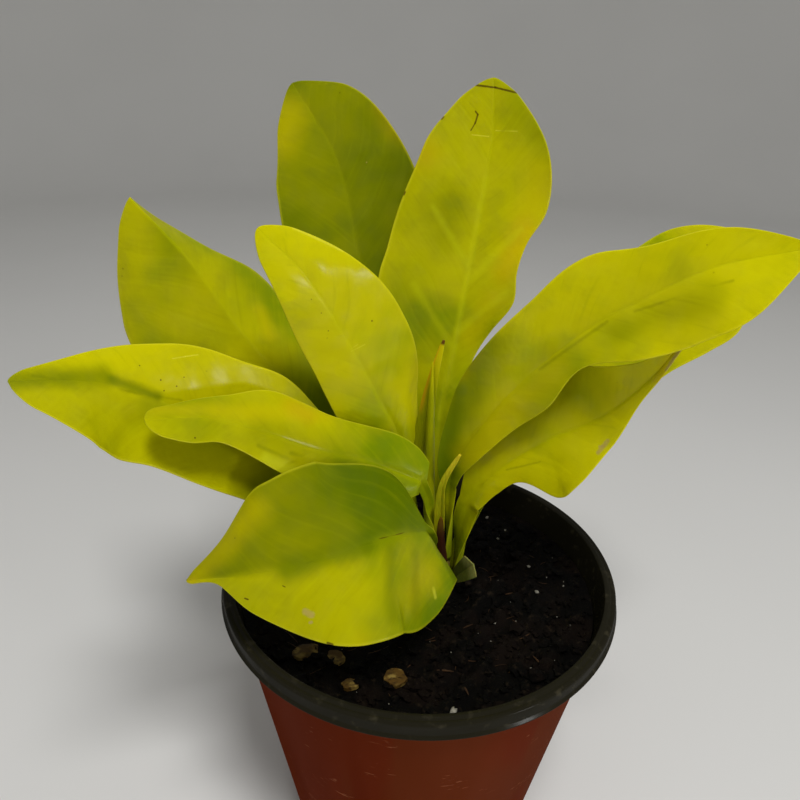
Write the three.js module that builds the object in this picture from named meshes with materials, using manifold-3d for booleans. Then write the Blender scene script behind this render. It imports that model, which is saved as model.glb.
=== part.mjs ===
// A gold-leaved philodendron in a thin plastic nursery pot.
// Ten strap-shaped leaves and one rolled new leaf rise from a short stem that stands in potting soil.
// Millimetres, +Z up. The origin is the centre of the pot's underside, and -Y is the front.
import * as THREE from "three";
import { mergeVertices } from "three/addons/utils/BufferGeometryUtils.js";
import Module from "manifold-3d";

// Pot
const POT_HEIGHT = 130;
const LIP_RADIUS = 75;
const WALL_TOP_RADIUS = 70;
const BASE_RADIUS = 49;
const WALL = 1.2;
const LIP_DROP = 6;
const LIP_SKIN = 1.3;
const LIP_ROUND = 1.5;
const FLOOR_TOP = 3.5;
const FOOT_RECESS = 2;
const HUB_RADIUS = 14;
const FOOT_WIDTH = 7;
const DRAIN_COUNT = 6;
const DRAIN_RADIUS = 5;
const DRAIN_RING = 28;
const POT_SIDES = 48;

// Soil
const GAP = 0.3;
const SOIL_LEVEL = 118;
const SOIL_RINGS = 11;
const SOIL_LUMP = 1.6;
const CROWN_DISH_LEVEL = 115.2;
const CROWN_DISH_RADIUS = 14;
const CROWN_DISH_SLOPE = 9;

// Stem
const STEM_CENTRE = [6, 9];
const STEM_RADIUS = 7.2;
const STEM_TOP = 125.8;
const STEM_ROOT = 66;
const STEM_SIDES = 20;

// Leaf stalks and blades
const STALK_RADIUS = 2.3;
const STALK_ROWS = 5;
const SHEATH_FLARE = 0.12;
const BLADE_EDGE = 0.8;
const BLADE_ROWS = 15;
const CROWN_BLADE_ROWS = 6;
const TIP_CROWDING = 1.25;
const RIB_AT_TIP = 0.3;
const LOBE_SHARE = 0.25;
const NARROWEST = 0.35;
const WAVE_FULL_WIDTH = 12;

// Each leaf has a stalk from the stem to the blade, a midrib from there to the tip, the way its upper
// face looks along the midrib, and half widths at even stations from the blade's base to its tip.
// Left and right are as seen on the upper face with the tip pointing away.
// fold tilts a half up from the midrib and curl bends it further towards its margin, in degrees.
// blunt is the share of the length over which the tip rounds off, and lobe sets a margin back at the base.
// wave gives a margin's ripple: its height, how many there are along the blade, and where they start.
// ribRadius is half the width of the stalk, where it isn't the usual one.
const LEAVES = {
  leaf_a: {
    stalk: [[1.7, 15.2, 117.5], [-7, 27, 160], [-13, 33.5, 186]],
    rib: [[-13, 33.5, 186], [-17, 38, 202], [-27, 50, 239], [-36, 62, 271], [-53, 72, 296]],
    facing: [[0.2, -1, 0.4], [0.1, -1, 0.4], [0, -1, 0.4]],
    left: [2.5, 8, 17, 24, 26, 26, 24, 17, 6],
    right: [2.5, 11, 21, 28, 29, 28, 24, 19, 8],
    fold: 8,
    curl: -10,
    blunt: 0.1,
    wave: { left: [0.8, 1.5, 0.5], right: [1.2, 1.5, 0.2] },
  },
  leaf_b: {
    stalk: [[6, 13.8, 126.3], [6.5, 21, 174.5]],
    rib: [
      [6.5, 21, 174.5], [7, 24, 188], [10.5, 31, 208], [15.5, 40, 233],
      [20, 50, 264], [22, 55, 284], [21, 57, 300],
    ],
    facing: [[0, -1, 0.35], [0, -1, 0.3]],
    ribRadius: 2,
    left: [2.5, 9, 17, 25, 31, 33, 32, 31, 29, 26, 23, 17, 6],
    right: [2.5, 5, 7, 9, 13, 18, 17, 19, 24, 24, 20, 12, 4],
    fold: 6,
    blunt: 0.05,
    wave: { left: [1.5, 2, 0.5], right: [2.5, 2.5, 0.1] },
  },
  leaf_c: {
    stalk: [[1.2, 9.5, 126.4], [-5, 8, 160], [-7, 7.5, 172]],
    rib: [
      [-7, 7.5, 172], [-10, 7, 184], [-15.5, 5, 196], [-25, 1, 217],
      [-41, -4, 245], [-53.5, -5, 258],
    ],
    facing: [[0.2, -1, 0.4], [0.2, -1, 0.5]],
    ribRadius: 2,
    left: [2.5, 12, 16, 16, 15, 14, 12, 9, 4],
    right: [2.5, 9, 16, 20, 21, 20, 16, 10, 4],
    curl: -10,
    blunt: 0.08,
    wave: { left: [0.8, 1.5, 0], right: [1, 1.5, 0.4] },
  },
  leaf_d: {
    stalk: [[-1.5, 10.5, 117.5], [-24, 14, 157], [-33, 15.5, 171]],
    rib: [[-33, 15.5, 171], [-50, 19, 194], [-69, 25, 215], [-86, 30, 238], [-106, 34, 259]],
    facing: [[-0.1, -1, 0.4], [-0.3, -1, 0.5]],
    left: [2.5, 10, 24, 36, 40, 40, 36, 25, 5],
    right: [2.5, 10, 18, 22, 24, 22, 13, 8, 1],
    fold: { left: 0, right: [-10, -30, -45, -60, -95] },
    curl: -10,
    blunt: 0.04,
    wave: { left: [1.5, 1.8, 0.3], right: [0, 1, 0] },
  },
  leaf_e: {
    stalk: [[0, 4.5, 117.5], [-14, 1, 145], [-23.5, 0, 158]],
    rib: [
      [-23.5, 0, 158], [-30, -1, 165], [-60, -10, 188], [-85, -22, 208],
      [-98, -32, 218], [-115, -46, 224],
    ],
    facing: [[0, -0.8, 0.7], [0, -0.7, 0.7]],
    left: [2.5, 10, 18, 20, 21, 21, 22, 18, 6],
    right: [2.5, 13, 20, 24, 22, 20, 14, 7, 2],
    fold: 10,
    blunt: 0.04,
    wave: { left: [1.5, 2, 0.2], right: [1.5, 1.5, 0.6] },
  },
  leaf_f: {
    stalk: [[3.8, 4.8, 126.6], [3, -3, 158], [-1, -8, 172]],
    rib: [
      [-1, -8, 172], [-20, -12, 182], [-36, -16, 188], [-56, -24, 200],
      [-68, -30, 206], [-82, -40, 210],
    ],
    facing: [[0, -0.8, 0.6], [0, -0.6, 0.8]],
    ribRadius: 1.9,
    left: [6, 14, 16, 12, 11, 9, 7, 8, 4],
    right: [9, 12, 12, 13, 14, 14, 9, 6, 4],
    curl: -10,
    blunt: 0.05,
    lobe: { left: 3, right: 3 },
    wave: { left: [0.8, 2, 0], right: [0.8, 1.5, 0.3] },
  },
  leaf_g: {
    stalk: [[4.2, 1.7, 117.5], [6, -8, 138], [3.5, -16, 152], [1.5, -20, 159]],
    rib: [[1.5, -20, 159], [-12.5, -34, 166.5], [-26, -43, 166.5], [-49, -48, 163], [-74.5, -45, 156]],
    facing: [[0, -0.8, 0.6], [0, -0.75, 0.65]],
    left: [23, 31, 30, 29, 26, 20, 12, 2, 1],
    right: [3, 19, 26, 30, 30, 28, 24, 14, 1],
    curl: -8,
    blunt: 0.03,
    lobe: { left: 13, right: 0 },
    wave: { left: [1.8, 2.5, 0.1], right: [1.2, 1.5, 0.4] },
  },
  leaf_h: {
    stalk: [[10.7, 8, 126.4], [10, 1.5, 164.5]],
    rib: [
      [10, 1.5, 164.5], [11, 0, 173], [18, -4, 190], [29, -9, 210],
      [49, -16, 234], [60, -20, 243], [76, -26, 255], [100, -32, 263],
    ],
    facing: [[-0.3, -1, 0.4], [-0.2, -0.8, 0.6]],
    ribRadius: 1.7,
    left: [3, 8, 12, 14, 17, 19, 13, 9, 1],
    right: [2.5, 6, 9, 10, 9, 16, 19, 17, 1],
    fold: 10,
    blunt: 0.04,
    wave: { left: [1.8, 2, 0.3], right: [1.5, 2, 0.1] },
  },
  leaf_i: {
    stalk: [[13.8, 8.3, 117.5], [15.6, 2, 146], [17.5, -1, 158.5]],
    rib: [
      [17.5, -1, 158.5], [24, -4, 172], [40, -10, 190], [55, -18, 204],
      [65, -26, 221], [71, -30, 235],
    ],
    facing: [[-0.2, -0.8, 0.6], [-0.2, -0.8, 0.6]],
    ribRadius: 2.6,
    left: [2.5, 9, 19, 26, 28, 22, 13, 5, 1],
    right: [2.5, 6, 8, 19, 18, 10, 4, 2, 1],
    fold: 10,
    blunt: 0.04,
    wave: { left: [1, 1.5, 0], right: [1.8, 1.5, 0.5] },
  },
  leaf_j: {
    stalk: [[11.7, 13.8, 117.5], [30, 26, 155], [36.5, 30, 166.5]],
    rib: [[36.5, 30, 166.5], [52, 37, 188], [79, 44, 216], [106, 47, 235], [136, 46, 245]],
    facing: [[-0.2, -0.8, 0.6], [-0.1, -0.7, 0.7]],
    left: [2.5, 10, 16, 19, 20, 20, 20, 13, 1],
    right: [2.5, 10, 18, 25, 27, 29, 28, 18, 1],
    fold: 8,
    blunt: 0.04,
    wave: { left: [1.5, 2, 0], right: [1.5, 2, 0.3] },
  },
};

// Dry sheaths and a cut leaf stalk at the crown, shaped as blades of their own.
const CROWN_BLADES = {
  sheath_tip: {
    rib: [[8.6, 3.6, 126.5], [7.4, 1.5, 150], [7.5, -2, 167], [12.4, -5, 181]],
    facing: [[-0.5, -1, 0.3], [-0.3, -1, 0.3]],
    left: [1.5, 1.6, 1.8, 1.6, 1],
    right: [1.5, 1.6, 1.6, 1.2, 0.6],
    fold: 12,
    blunt: 0.06,
    ribRadius: 0.7,
  },
  sheath_dry: {
    rib: [[9.6, 0.7, 117.5], [9.6, -0.2, 130], [8, -1, 141], [7.4, -2, 152]],
    facing: [[0.2, -1, 0.1], [0.2, -1, 0.2]],
    left: [1.2, 1.4, 1.5, 1.4, 0.8],
    right: [1.2, 1.4, 1.5, 1.4, 0.8],
    fold: -14,
    blunt: 0.1,
    ribRadius: 0.5,
  },
  cut_stalk: {
    rib: [[12.6, 3.2, 117.5], [15.2, -0.2, 124], [20.5, -4, 132.5]],
    facing: [[-0.5, -0.5, 0.5], [-0.4, -0.8, 0.5]],
    left: [1.6, 2.4, 3.6, 4.6],
    right: [1.6, 2.6, 4, 4.8],
    fold: 18,
    blunt: 0.03,
    ribRadius: 1.4,
  },
};
const CROWN_COLOURS = { sheath_tip: 0xaa9a2a, sheath_dry: 0x6a3218, cut_stalk: 0x6f7648 };

// New leaf, still rolled, in the middle of the crown.
const NEW_LEAF_PATH = [[6, 9, 126.2], [5.5, 7, 160], [5, 5, 195], [5, 4, 220]];
const NEW_LEAF_RADIUS = [1.8, 2, 2.3, 2.6, 2.7, 2.4, 1.8, 1.1, 0.2];
const NEW_LEAF_ROWS = 14;
const NEW_LEAF_COLUMNS = 7;
const NEW_LEAF_CORE = 0.3;

// Pieces of bark on the soil: centre, size along and across, and turn in degrees.
const BARK_CHIPS = [
  { centre: [-39.5, -36.5], size: [11, 7], turn: 20 },
  { centre: [-28.5, -38.5], size: [8, 6], turn: -35 },
  { centre: [-8, -46.5], size: [8.5, 9], turn: 60 },
  { centre: [-23, -50], size: [7, 5], turn: 10 },
];
const CHIP_SEAT = 117.4;
const CHIP_THICKNESS = 2.2;
const CHIP_BEVEL = 0.5;
const CHIP_CORNERS = 9;
const CHIP_SEAT_MARGIN = 6.5;
const CHIP_SEAT_SLOPE = 5;

const LEAF_COLOURS = {
  leaf_a: 0xa8ac0c,
  leaf_b: 0xc4bc12,
  leaf_c: 0xd2d618,
  leaf_d: 0xa6b60a,
  leaf_e: 0xbcc008,
  leaf_f: 0xaab008,
  leaf_g: 0xc2c40c,
  leaf_h: 0xb0b808,
  leaf_i: 0xa8b40c,
  leaf_j: 0x9aac0a,
};

function colouredMesh(name, geometry, colour, roughness) {
  const material = new THREE.MeshStandardMaterial({ color: colour, roughness, metalness: 0 });
  const mesh = new THREE.Mesh(geometry, material);
  mesh.name = name;
  return mesh;
}

// A value that runs smoothly through numbers set at even stations, for t from 0 to 1.
function smoothValue(values, t) {
  if (typeof values === "number") return values;
  const last = values.length - 1;
  const x = THREE.MathUtils.clamp(t, 0, 1) * last;
  const i = Math.min(Math.floor(x), last - 1);
  const f = x - i;
  const b = values[i];
  const c = values[i + 1];
  const a = i > 0 ? values[i - 1] : 2 * b - c;
  const d = i < last - 1 ? values[i + 2] : 2 * c - b;
  return b + 0.5 * f * (c - a + f * (2 * a - 5 * b + 4 * c - d + f * (3 * (b - c) + d - a)));
}

function smoothDirection(directions, t) {
  const last = directions.length - 1;
  const x = THREE.MathUtils.clamp(t, 0, 1) * last;
  const i = Math.min(Math.floor(x), last - 1);
  return directions[i].clone().lerp(directions[i + 1], THREE.MathUtils.smoothstep(x - i, 0, 1)).normalize();
}

function sideValue(setting, side, t) {
  if (setting === undefined) return 0;
  const isSided = typeof setting === "object" && !Array.isArray(setting);
  return smoothValue(isSided ? setting[side] : setting, t);
}

function smoothCurve(points) {
  return new THREE.CatmullRomCurve3(points.map((p) => new THREE.Vector3(...p)), false, "centripetal");
}

// The midrib's place with three axes: along it, out of the upper face, and towards the right half.
function frameAt(curve, facing, t) {
  const at = curve.getPointAt(t);
  const along = curve.getTangentAt(t);
  const up = facing.clone().addScaledVector(along, -facing.dot(along)).normalize();
  const right = along.clone().cross(up);
  return { at, along, up, right };
}

// One cross-section, as its upper and lower points from the left margin to the right one.
// At each column share of the half width, reach is how far out it lies and rise how far up.
function crossSection({ at, along, up, right }, columns, rib) {
  const upper = columns.map(({ reach, rise, back }) =>
    at
      .clone()
      .addScaledVector(right, reach)
      .addScaledVector(up, rise)
      .addScaledVector(along, -back),
  );
  const lower = upper.map((point, i) => {
    const across = columns[i].distance / rib;
    const thickness = BLADE_EDGE + rib * Math.sqrt(Math.max(0, 1 - across * across));
    return point.clone().addScaledVector(up, -thickness);
  });
  return { upper, lower };
}

// A flat-topped, round-bellied section of the stalk, as wide as it is deep.
function stalkSection(curve, leaf, facing, t) {
  const rib = (leaf.ribRadius ?? STALK_RADIUS) * (1 + SHEATH_FLARE * (1 - t) ** 2);
  const columns = [-1, -0.85, -0.6, -0.3, 0, 0.3, 0.6, 0.85, 1].map((share) => ({
    reach: share * rib,
    rise: 0,
    back: 0,
    distance: Math.abs(share) * rib,
  }));
  return crossSection(frameAt(curve, facing, t), columns, rib);
}

function bladeWidth(leaf, side, t) {
  const width = smoothValue(leaf[side], t);
  const fromBlunt = (t - 1 + leaf.blunt) / leaf.blunt;
  const rounding = fromBlunt > 0 ? Math.sqrt(Math.max(0, 1 - fromBlunt * fromBlunt)) : 1;
  return Math.max(width * rounding, NARROWEST);
}

function bladeColumn(leaf, side, t, share, width) {
  const fold = THREE.MathUtils.degToRad(sideValue(leaf.fold, side, t));
  const curl = THREE.MathUtils.degToRad(sideValue(leaf.curl, side, t));
  const isStraight = Math.abs(curl) < 1e-3;
  const reach = isStraight
    ? share * Math.cos(fold)
    : (Math.sin(fold + curl * share) - Math.sin(fold)) / curl;
  const rise = isStraight
    ? share * Math.sin(fold)
    : (Math.cos(fold) - Math.cos(fold + curl * share)) / curl;
  const lobe = leaf.lobe ? leaf.lobe[side] : 0;
  const [height, count, start] = leaf.wave ? leaf.wave[side] : [0, 0, 0];
  const breadth = Math.min(1, width / WAVE_FULL_WIDTH);
  const ripple = height * breadth * share ** 2 * Math.sin(2 * Math.PI * (count * t + start));
  return {
    reach: (side === "left" ? -1 : 1) * reach * width,
    rise: rise * width + ripple,
    back: lobe * share * Math.max(0, 1 - t / LOBE_SHARE) ** 2,
    distance: share * width,
  };
}

function bladeSection(curve, leaf, facing, t) {
  const ribAtBase = leaf.ribRadius ?? STALK_RADIUS;
  const rib = RIB_AT_TIP + (ribAtBase - RIB_AT_TIP) * (1 - t);
  const columns = [];
  for (const side of ["left", "right"]) {
    const width = bladeWidth(leaf, side, t);
    const ribShare = Math.min(rib / width, 0.3);
    const shares = [0, 1, 2, 3].map((step) => ribShare + ((1 - ribShare) * step) / 3);
    const made = shares.map((share) => bladeColumn(leaf, side, t, share, width));
    if (side === "left") columns.push(...made.reverse(), bladeColumn(leaf, side, t, 0, width));
    else columns.push(...made);
  }
  return crossSection(frameAt(curve, facing, t), columns, rib);
}

// Closes a run of cross-sections into one skin, split into triangles alike on both faces.
function skinOf(sections) {
  const across = sections[0].upper.length;
  const position = [];
  for (const { upper, lower } of sections) {
    for (const point of [...upper, ...lower]) position.push(...point.toArray());
  }
  const upperAt = (row, column) => row * 2 * across + column;
  const lowerAt = (row, column) => upperAt(row, column) + across;
  const index = [];
  const last = across - 1;
  for (let row = 0; row < sections.length - 1; row += 1) {
    for (let column = 0; column < last; column += 1) {
      const a = [row, column];
      const b = [row, column + 1];
      const c = [row + 1, column + 1];
      const d = [row + 1, column];
      for (const [p, q, r] of [[a, b, c], [a, c, d]]) {
        index.push(upperAt(...p), upperAt(...q), upperAt(...r));
        index.push(lowerAt(...p), lowerAt(...r), lowerAt(...q));
      }
    }
    index.push(upperAt(row, 0), upperAt(row + 1, 0), lowerAt(row, 0));
    index.push(upperAt(row + 1, 0), lowerAt(row + 1, 0), lowerAt(row, 0));
    index.push(upperAt(row, last), lowerAt(row, last), upperAt(row + 1, last));
    index.push(upperAt(row + 1, last), lowerAt(row, last), lowerAt(row + 1, last));
  }
  const tip = sections.length - 1;
  for (let column = 0; column < last; column += 1) {
    index.push(upperAt(0, column), lowerAt(0, column), upperAt(0, column + 1));
    index.push(upperAt(0, column + 1), lowerAt(0, column), lowerAt(0, column + 1));
    index.push(upperAt(tip, column), upperAt(tip, column + 1), lowerAt(tip, column));
    index.push(upperAt(tip, column + 1), lowerAt(tip, column + 1), lowerAt(tip, column));
  }
  const geometry = new THREE.BufferGeometry();
  geometry.setAttribute("position", new THREE.Float32BufferAttribute(position, 3));
  geometry.setIndex(index);
  return geometry;
}

// The stalk's flat side looks at the stem's axis where it starts, and turns to the blade's own facing.
function stalkSections(leaf, bladeFacing) {
  const [startX, startY] = leaf.stalk[0];
  const toAxis = new THREE.Vector3(STEM_CENTRE[0] - startX, STEM_CENTRE[1] - startY, 0).normalize();
  const stalk = smoothCurve(leaf.stalk);
  const sections = [];
  for (let row = 0; row < STALK_ROWS; row += 1) {
    const t = row / STALK_ROWS;
    sections.push(stalkSection(stalk, leaf, smoothDirection([toAxis, bladeFacing], t), t));
  }
  return sections;
}

function leafGeometry(leaf) {
  const facing = leaf.facing.map((f) => new THREE.Vector3(...f).normalize());
  const rib = smoothCurve(leaf.rib);
  const sections = leaf.stalk ? stalkSections(leaf, facing[0]) : [];
  const rows = leaf.stalk ? BLADE_ROWS : CROWN_BLADE_ROWS;
  for (let row = 0; row <= rows; row += 1) {
    const t = 1 - (1 - row / rows) ** TIP_CROWDING;
    sections.push(bladeSection(rib, leaf, smoothDirection(facing, t), t));
  }
  return skinOf(sections);
}

function newLeafGeometry() {
  const curve = smoothCurve(NEW_LEAF_PATH);
  const facing = new THREE.Vector3(0, -1, 0);
  const sections = [];
  for (let row = 0; row <= NEW_LEAF_ROWS; row += 1) {
    const t = row / NEW_LEAF_ROWS;
    const radius = smoothValue(NEW_LEAF_RADIUS, t);
    const { at, up, right } = frameAt(curve, facing, t);
    const upper = [];
    const lower = [];
    for (let column = 0; column < NEW_LEAF_COLUMNS; column += 1) {
      const angle = (Math.PI * column) / (NEW_LEAF_COLUMNS - 1);
      const out = at.clone().addScaledVector(right, -radius * Math.cos(angle));
      const rise = NEW_LEAF_CORE + radius * Math.sin(angle);
      upper.push(out.clone().addScaledVector(up, rise));
      lower.push(out.clone().addScaledVector(up, -rise));
    }
    sections.push({ upper, lower });
  }
  return skinOf(sections);
}

const wasm = await Module();
wasm.setup();

function solidOf(geometry) {
  const bare = geometry.clone();
  bare.deleteAttribute("normal");
  bare.deleteAttribute("uv");
  const merged = mergeVertices(bare, 1e-3);
  return new wasm.Manifold(
    new wasm.Mesh({
      numProp: 3,
      vertProperties: merged.attributes.position.array,
      triVerts: new Uint32Array(merged.index.array),
    }),
  );
}

function geometryOf(solid) {
  const { vertProperties, triVerts } = solid.getMesh();
  const geometry = new THREE.BufferGeometry();
  geometry.setAttribute("position", new THREE.BufferAttribute(vertProperties, 3));
  geometry.setIndex(new THREE.BufferAttribute(triVerts, 1));
  return geometry;
}

// A turned shape about Z, from radius and height pairs that start and end on the axis.
function turned(profile, sides) {
  const points = profile.map(([radius, height]) => new THREE.Vector2(radius, height));
  return new THREE.LatheGeometry(points, sides).rotateX(Math.PI / 2);
}

function wallOutside(z) {
  return BASE_RADIUS + ((WALL_TOP_RADIUS - BASE_RADIUS) * z) / (POT_HEIGHT - LIP_DROP);
}

// The wall ends in a lip rolled over outwards, hollow from below. The foot stands on a ring and a hub.
function potGeometry() {
  const footInside = BASE_RADIUS - FOOT_WIDTH;
  const lipBottom = POT_HEIGHT - LIP_DROP;
  const lipInside = LIP_RADIUS - LIP_SKIN;
  const lipRoof = POT_HEIGHT - LIP_SKIN;
  const profile = [
    [0, 0],
    [HUB_RADIUS, 0],
    [HUB_RADIUS + 1, FOOT_RECESS],
    [footInside - 1, FOOT_RECESS],
    [footInside, 0],
    [BASE_RADIUS - 1.5, 0],
    [wallOutside(1.5), 1.5],
    [wallOutside(lipBottom), lipBottom],
    [wallOutside(lipRoof), lipRoof],
    [lipInside, lipRoof],
    [lipInside, lipBottom],
    [LIP_RADIUS, lipBottom],
    [LIP_RADIUS, POT_HEIGHT - LIP_ROUND],
    [LIP_RADIUS - 0.3 * LIP_ROUND, POT_HEIGHT - 0.3 * LIP_ROUND],
    [LIP_RADIUS - LIP_ROUND, POT_HEIGHT],
    [wallOutside(POT_HEIGHT) - 0.3, POT_HEIGHT],
    [wallOutside(lipRoof) - WALL, lipRoof],
    [wallOutside(FLOOR_TOP + 1) - WALL, FLOOR_TOP + 1],
    [wallOutside(FLOOR_TOP) - WALL - 1, FLOOR_TOP],
    [0, FLOOR_TOP],
  ];
  let pot = solidOf(turned(profile, POT_SIDES));
  for (let hole = 0; hole < DRAIN_COUNT; hole += 1) {
    const angle = (2 * Math.PI * hole) / DRAIN_COUNT;
    const drill = new THREE.CylinderGeometry(DRAIN_RADIUS, DRAIN_RADIUS, 4 * FLOOR_TOP, 12);
    drill.rotateX(Math.PI / 2);
    drill.translate(DRAIN_RING * Math.cos(angle), DRAIN_RING * Math.sin(angle), FLOOR_TOP);
    pot = pot.subtract(solidOf(drill));
  }
  return geometryOf(pot);
}

// The soil lies lumpy, sinks to a dish round the crown, and is flat under each piece of bark.
function soilTop(x, y) {
  const wallInside = wallOutside(SOIL_LEVEL) - WALL;
  const fromWall = wallInside - Math.hypot(x, y);
  const waves = Math.sin(0.42 * x + 1.3) * Math.cos(0.37 * y - 0.4) + 0.5 * Math.sin(0.6 * x - 0.45 * y + 2);
  let level = SOIL_LEVEL + SOIL_LUMP * waves * THREE.MathUtils.smoothstep(fromWall, 1, 9);
  for (const { centre, size } of BARK_CHIPS) {
    const from = Math.hypot(x - centre[0], y - centre[1]) - Math.max(...size) / 2 - CHIP_SEAT_MARGIN;
    level = THREE.MathUtils.lerp(CHIP_SEAT, level, THREE.MathUtils.smoothstep(from, 0, CHIP_SEAT_SLOPE));
  }
  const fromCrown = Math.hypot(x - STEM_CENTRE[0], y - STEM_CENTRE[1]) - CROWN_DISH_RADIUS;
  return THREE.MathUtils.lerp(
    CROWN_DISH_LEVEL,
    level,
    THREE.MathUtils.smoothstep(fromCrown, 0, CROWN_DISH_SLOPE),
  );
}

function soilGeometry() {
  const bottom = FLOOR_TOP + GAP;
  const topRadius = wallOutside(SOIL_LEVEL) - WALL - GAP;
  const bottomRadius = wallOutside(bottom) - WALL - 1 - GAP;
  const position = [0, 0, soilTop(0, 0)];
  for (let ring = 1; ring <= SOIL_RINGS; ring += 1) {
    for (let side = 0; side < POT_SIDES; side += 1) {
      const angle = (2 * Math.PI * side) / POT_SIDES;
      const x = ((topRadius * ring) / SOIL_RINGS) * Math.cos(angle);
      const y = ((topRadius * ring) / SOIL_RINGS) * Math.sin(angle);
      position.push(x, y, soilTop(x, y));
    }
  }
  for (let side = 0; side < POT_SIDES; side += 1) {
    const angle = (2 * Math.PI * side) / POT_SIDES;
    position.push(bottomRadius * Math.cos(angle), bottomRadius * Math.sin(angle), bottom);
  }
  position.push(0, 0, bottom);
  const lowest = position.length / 3 - 1;
  const at = (ring, side) => 1 + (ring - 1) * POT_SIDES + (side % POT_SIDES);
  const index = [];
  for (let side = 0; side < POT_SIDES; side += 1) {
    index.push(0, at(1, side), at(1, side + 1));
    for (let ring = 1; ring <= SOIL_RINGS; ring += 1) {
      index.push(at(ring, side), at(ring + 1, side), at(ring + 1, side + 1));
      index.push(at(ring, side), at(ring + 1, side + 1), at(ring, side + 1));
    }
    index.push(lowest, at(SOIL_RINGS + 1, side + 1), at(SOIL_RINGS + 1, side));
  }
  const bed = new THREE.BufferGeometry();
  bed.setAttribute("position", new THREE.Float32BufferAttribute(position, 3));
  bed.setIndex(index);
  const holeBottom = STEM_ROOT - GAP;
  const hole = turned(
    [[0, holeBottom], [STEM_RADIUS + GAP, holeBottom], [STEM_RADIUS + GAP, POT_HEIGHT], [0, POT_HEIGHT]],
    STEM_SIDES,
  ).translate(...STEM_CENTRE, 0);
  return geometryOf(solidOf(bed).subtract(solidOf(hole)));
}

function stemGeometry() {
  const profile = [
    [0, STEM_ROOT],
    [0.4 * STEM_RADIUS, STEM_ROOT],
    [0.8 * STEM_RADIUS, STEM_ROOT + 12],
    [STEM_RADIUS, STEM_ROOT + 30],
    [STEM_RADIUS, STEM_TOP - 1.5],
    [STEM_RADIUS - 0.8, STEM_TOP],
    [0, STEM_TOP],
  ];
  return turned(profile, STEM_SIDES).translate(...STEM_CENTRE, 0);
}

// A flat flake with an uneven edge, lying in its seat on the soil.
function barkChipGeometry({ centre, size, turn }) {
  const outline = new THREE.Shape();
  for (let corner = 0; corner < CHIP_CORNERS; corner += 1) {
    const angle = (2 * Math.PI * corner) / CHIP_CORNERS;
    const uneven = 0.85 + 0.15 * Math.sin(2 * angle + turn) * Math.cos(3 * angle + centre[0]);
    const x = (size[0] / 2 - CHIP_BEVEL) * uneven * Math.cos(angle);
    const y = (size[1] / 2 - CHIP_BEVEL) * uneven * Math.sin(angle);
    if (corner === 0) outline.moveTo(x, y);
    else outline.lineTo(x, y);
  }
  outline.closePath();
  return new THREE.ExtrudeGeometry(outline, {
    depth: CHIP_THICKNESS - 2 * CHIP_BEVEL,
    bevelEnabled: true,
    bevelThickness: CHIP_BEVEL,
    bevelSize: CHIP_BEVEL,
    bevelSegments: 1,
  })
    .rotateZ(THREE.MathUtils.degToRad(turn))
    .translate(...centre, CHIP_SEAT + GAP + CHIP_BEVEL);
}

const philodendron = new THREE.Group();
philodendron.add(colouredMesh("pot", potGeometry(), 0x5e2c16, 0.3));
philodendron.add(colouredMesh("soil", soilGeometry(), 0x14110d, 0.95));
philodendron.add(colouredMesh("stem", stemGeometry(), 0x6b5a24, 0.7));
for (const [name, leaf] of Object.entries(LEAVES)) {
  philodendron.add(colouredMesh(name, leafGeometry(leaf), LEAF_COLOURS[name], 0.4));
}
philodendron.add(colouredMesh("new_leaf", newLeafGeometry(), 0xb8b420, 0.45));
for (const [name, blade] of Object.entries(CROWN_BLADES)) {
  philodendron.add(colouredMesh(name, leafGeometry(blade), CROWN_COLOURS[name], 0.7));
}
BARK_CHIPS.forEach((chip, i) => {
  philodendron.add(colouredMesh(`bark_chip_${i + 1}`, barkChipGeometry(chip), 0x5a4a20, 0.8));
});

export default philodendron;
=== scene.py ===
# A gold-leaved philodendron in a thin plastic nursery pot.
# Metres, +Z up. The origin is the centre of the pot's underside, and -Y is the front.
import bisect
import math
import random

import bmesh
import bpy
from mathutils import Matrix, Vector, noise


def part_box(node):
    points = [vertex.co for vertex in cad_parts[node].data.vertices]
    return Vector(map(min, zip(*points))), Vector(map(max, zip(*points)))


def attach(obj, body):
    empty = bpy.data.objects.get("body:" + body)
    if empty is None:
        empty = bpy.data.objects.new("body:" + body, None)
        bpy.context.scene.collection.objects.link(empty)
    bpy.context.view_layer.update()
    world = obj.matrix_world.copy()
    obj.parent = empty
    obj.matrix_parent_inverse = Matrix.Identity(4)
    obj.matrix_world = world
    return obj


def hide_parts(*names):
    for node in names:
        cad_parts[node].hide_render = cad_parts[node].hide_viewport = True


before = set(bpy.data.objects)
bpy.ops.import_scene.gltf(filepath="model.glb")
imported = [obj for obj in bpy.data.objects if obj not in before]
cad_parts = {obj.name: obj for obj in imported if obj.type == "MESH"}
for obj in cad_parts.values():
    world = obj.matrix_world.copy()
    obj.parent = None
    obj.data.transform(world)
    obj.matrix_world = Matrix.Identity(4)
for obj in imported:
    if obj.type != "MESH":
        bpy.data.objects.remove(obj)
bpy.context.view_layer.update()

MM = 0.001

# Camera
# The plant was photographed from close by and a little above. The rim's centre, with its depth and
# its place in the picture, fixes where the camera stands.
PICTURE_SIZE = 800
FOCAL_PIXELS = 700
SENSOR_WIDTH = 36
LOOK_DOWN = math.radians(25.8)
ROLL = math.radians(1.6)
RIM_DEPTH = 271.4 * MM
RIM_CENTRE_PIXEL = (418.9, 561.5)
NEAREST_SEEN = 10 * MM
rim_centre = Vector((0, 0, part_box("pot")[1].z))

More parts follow.
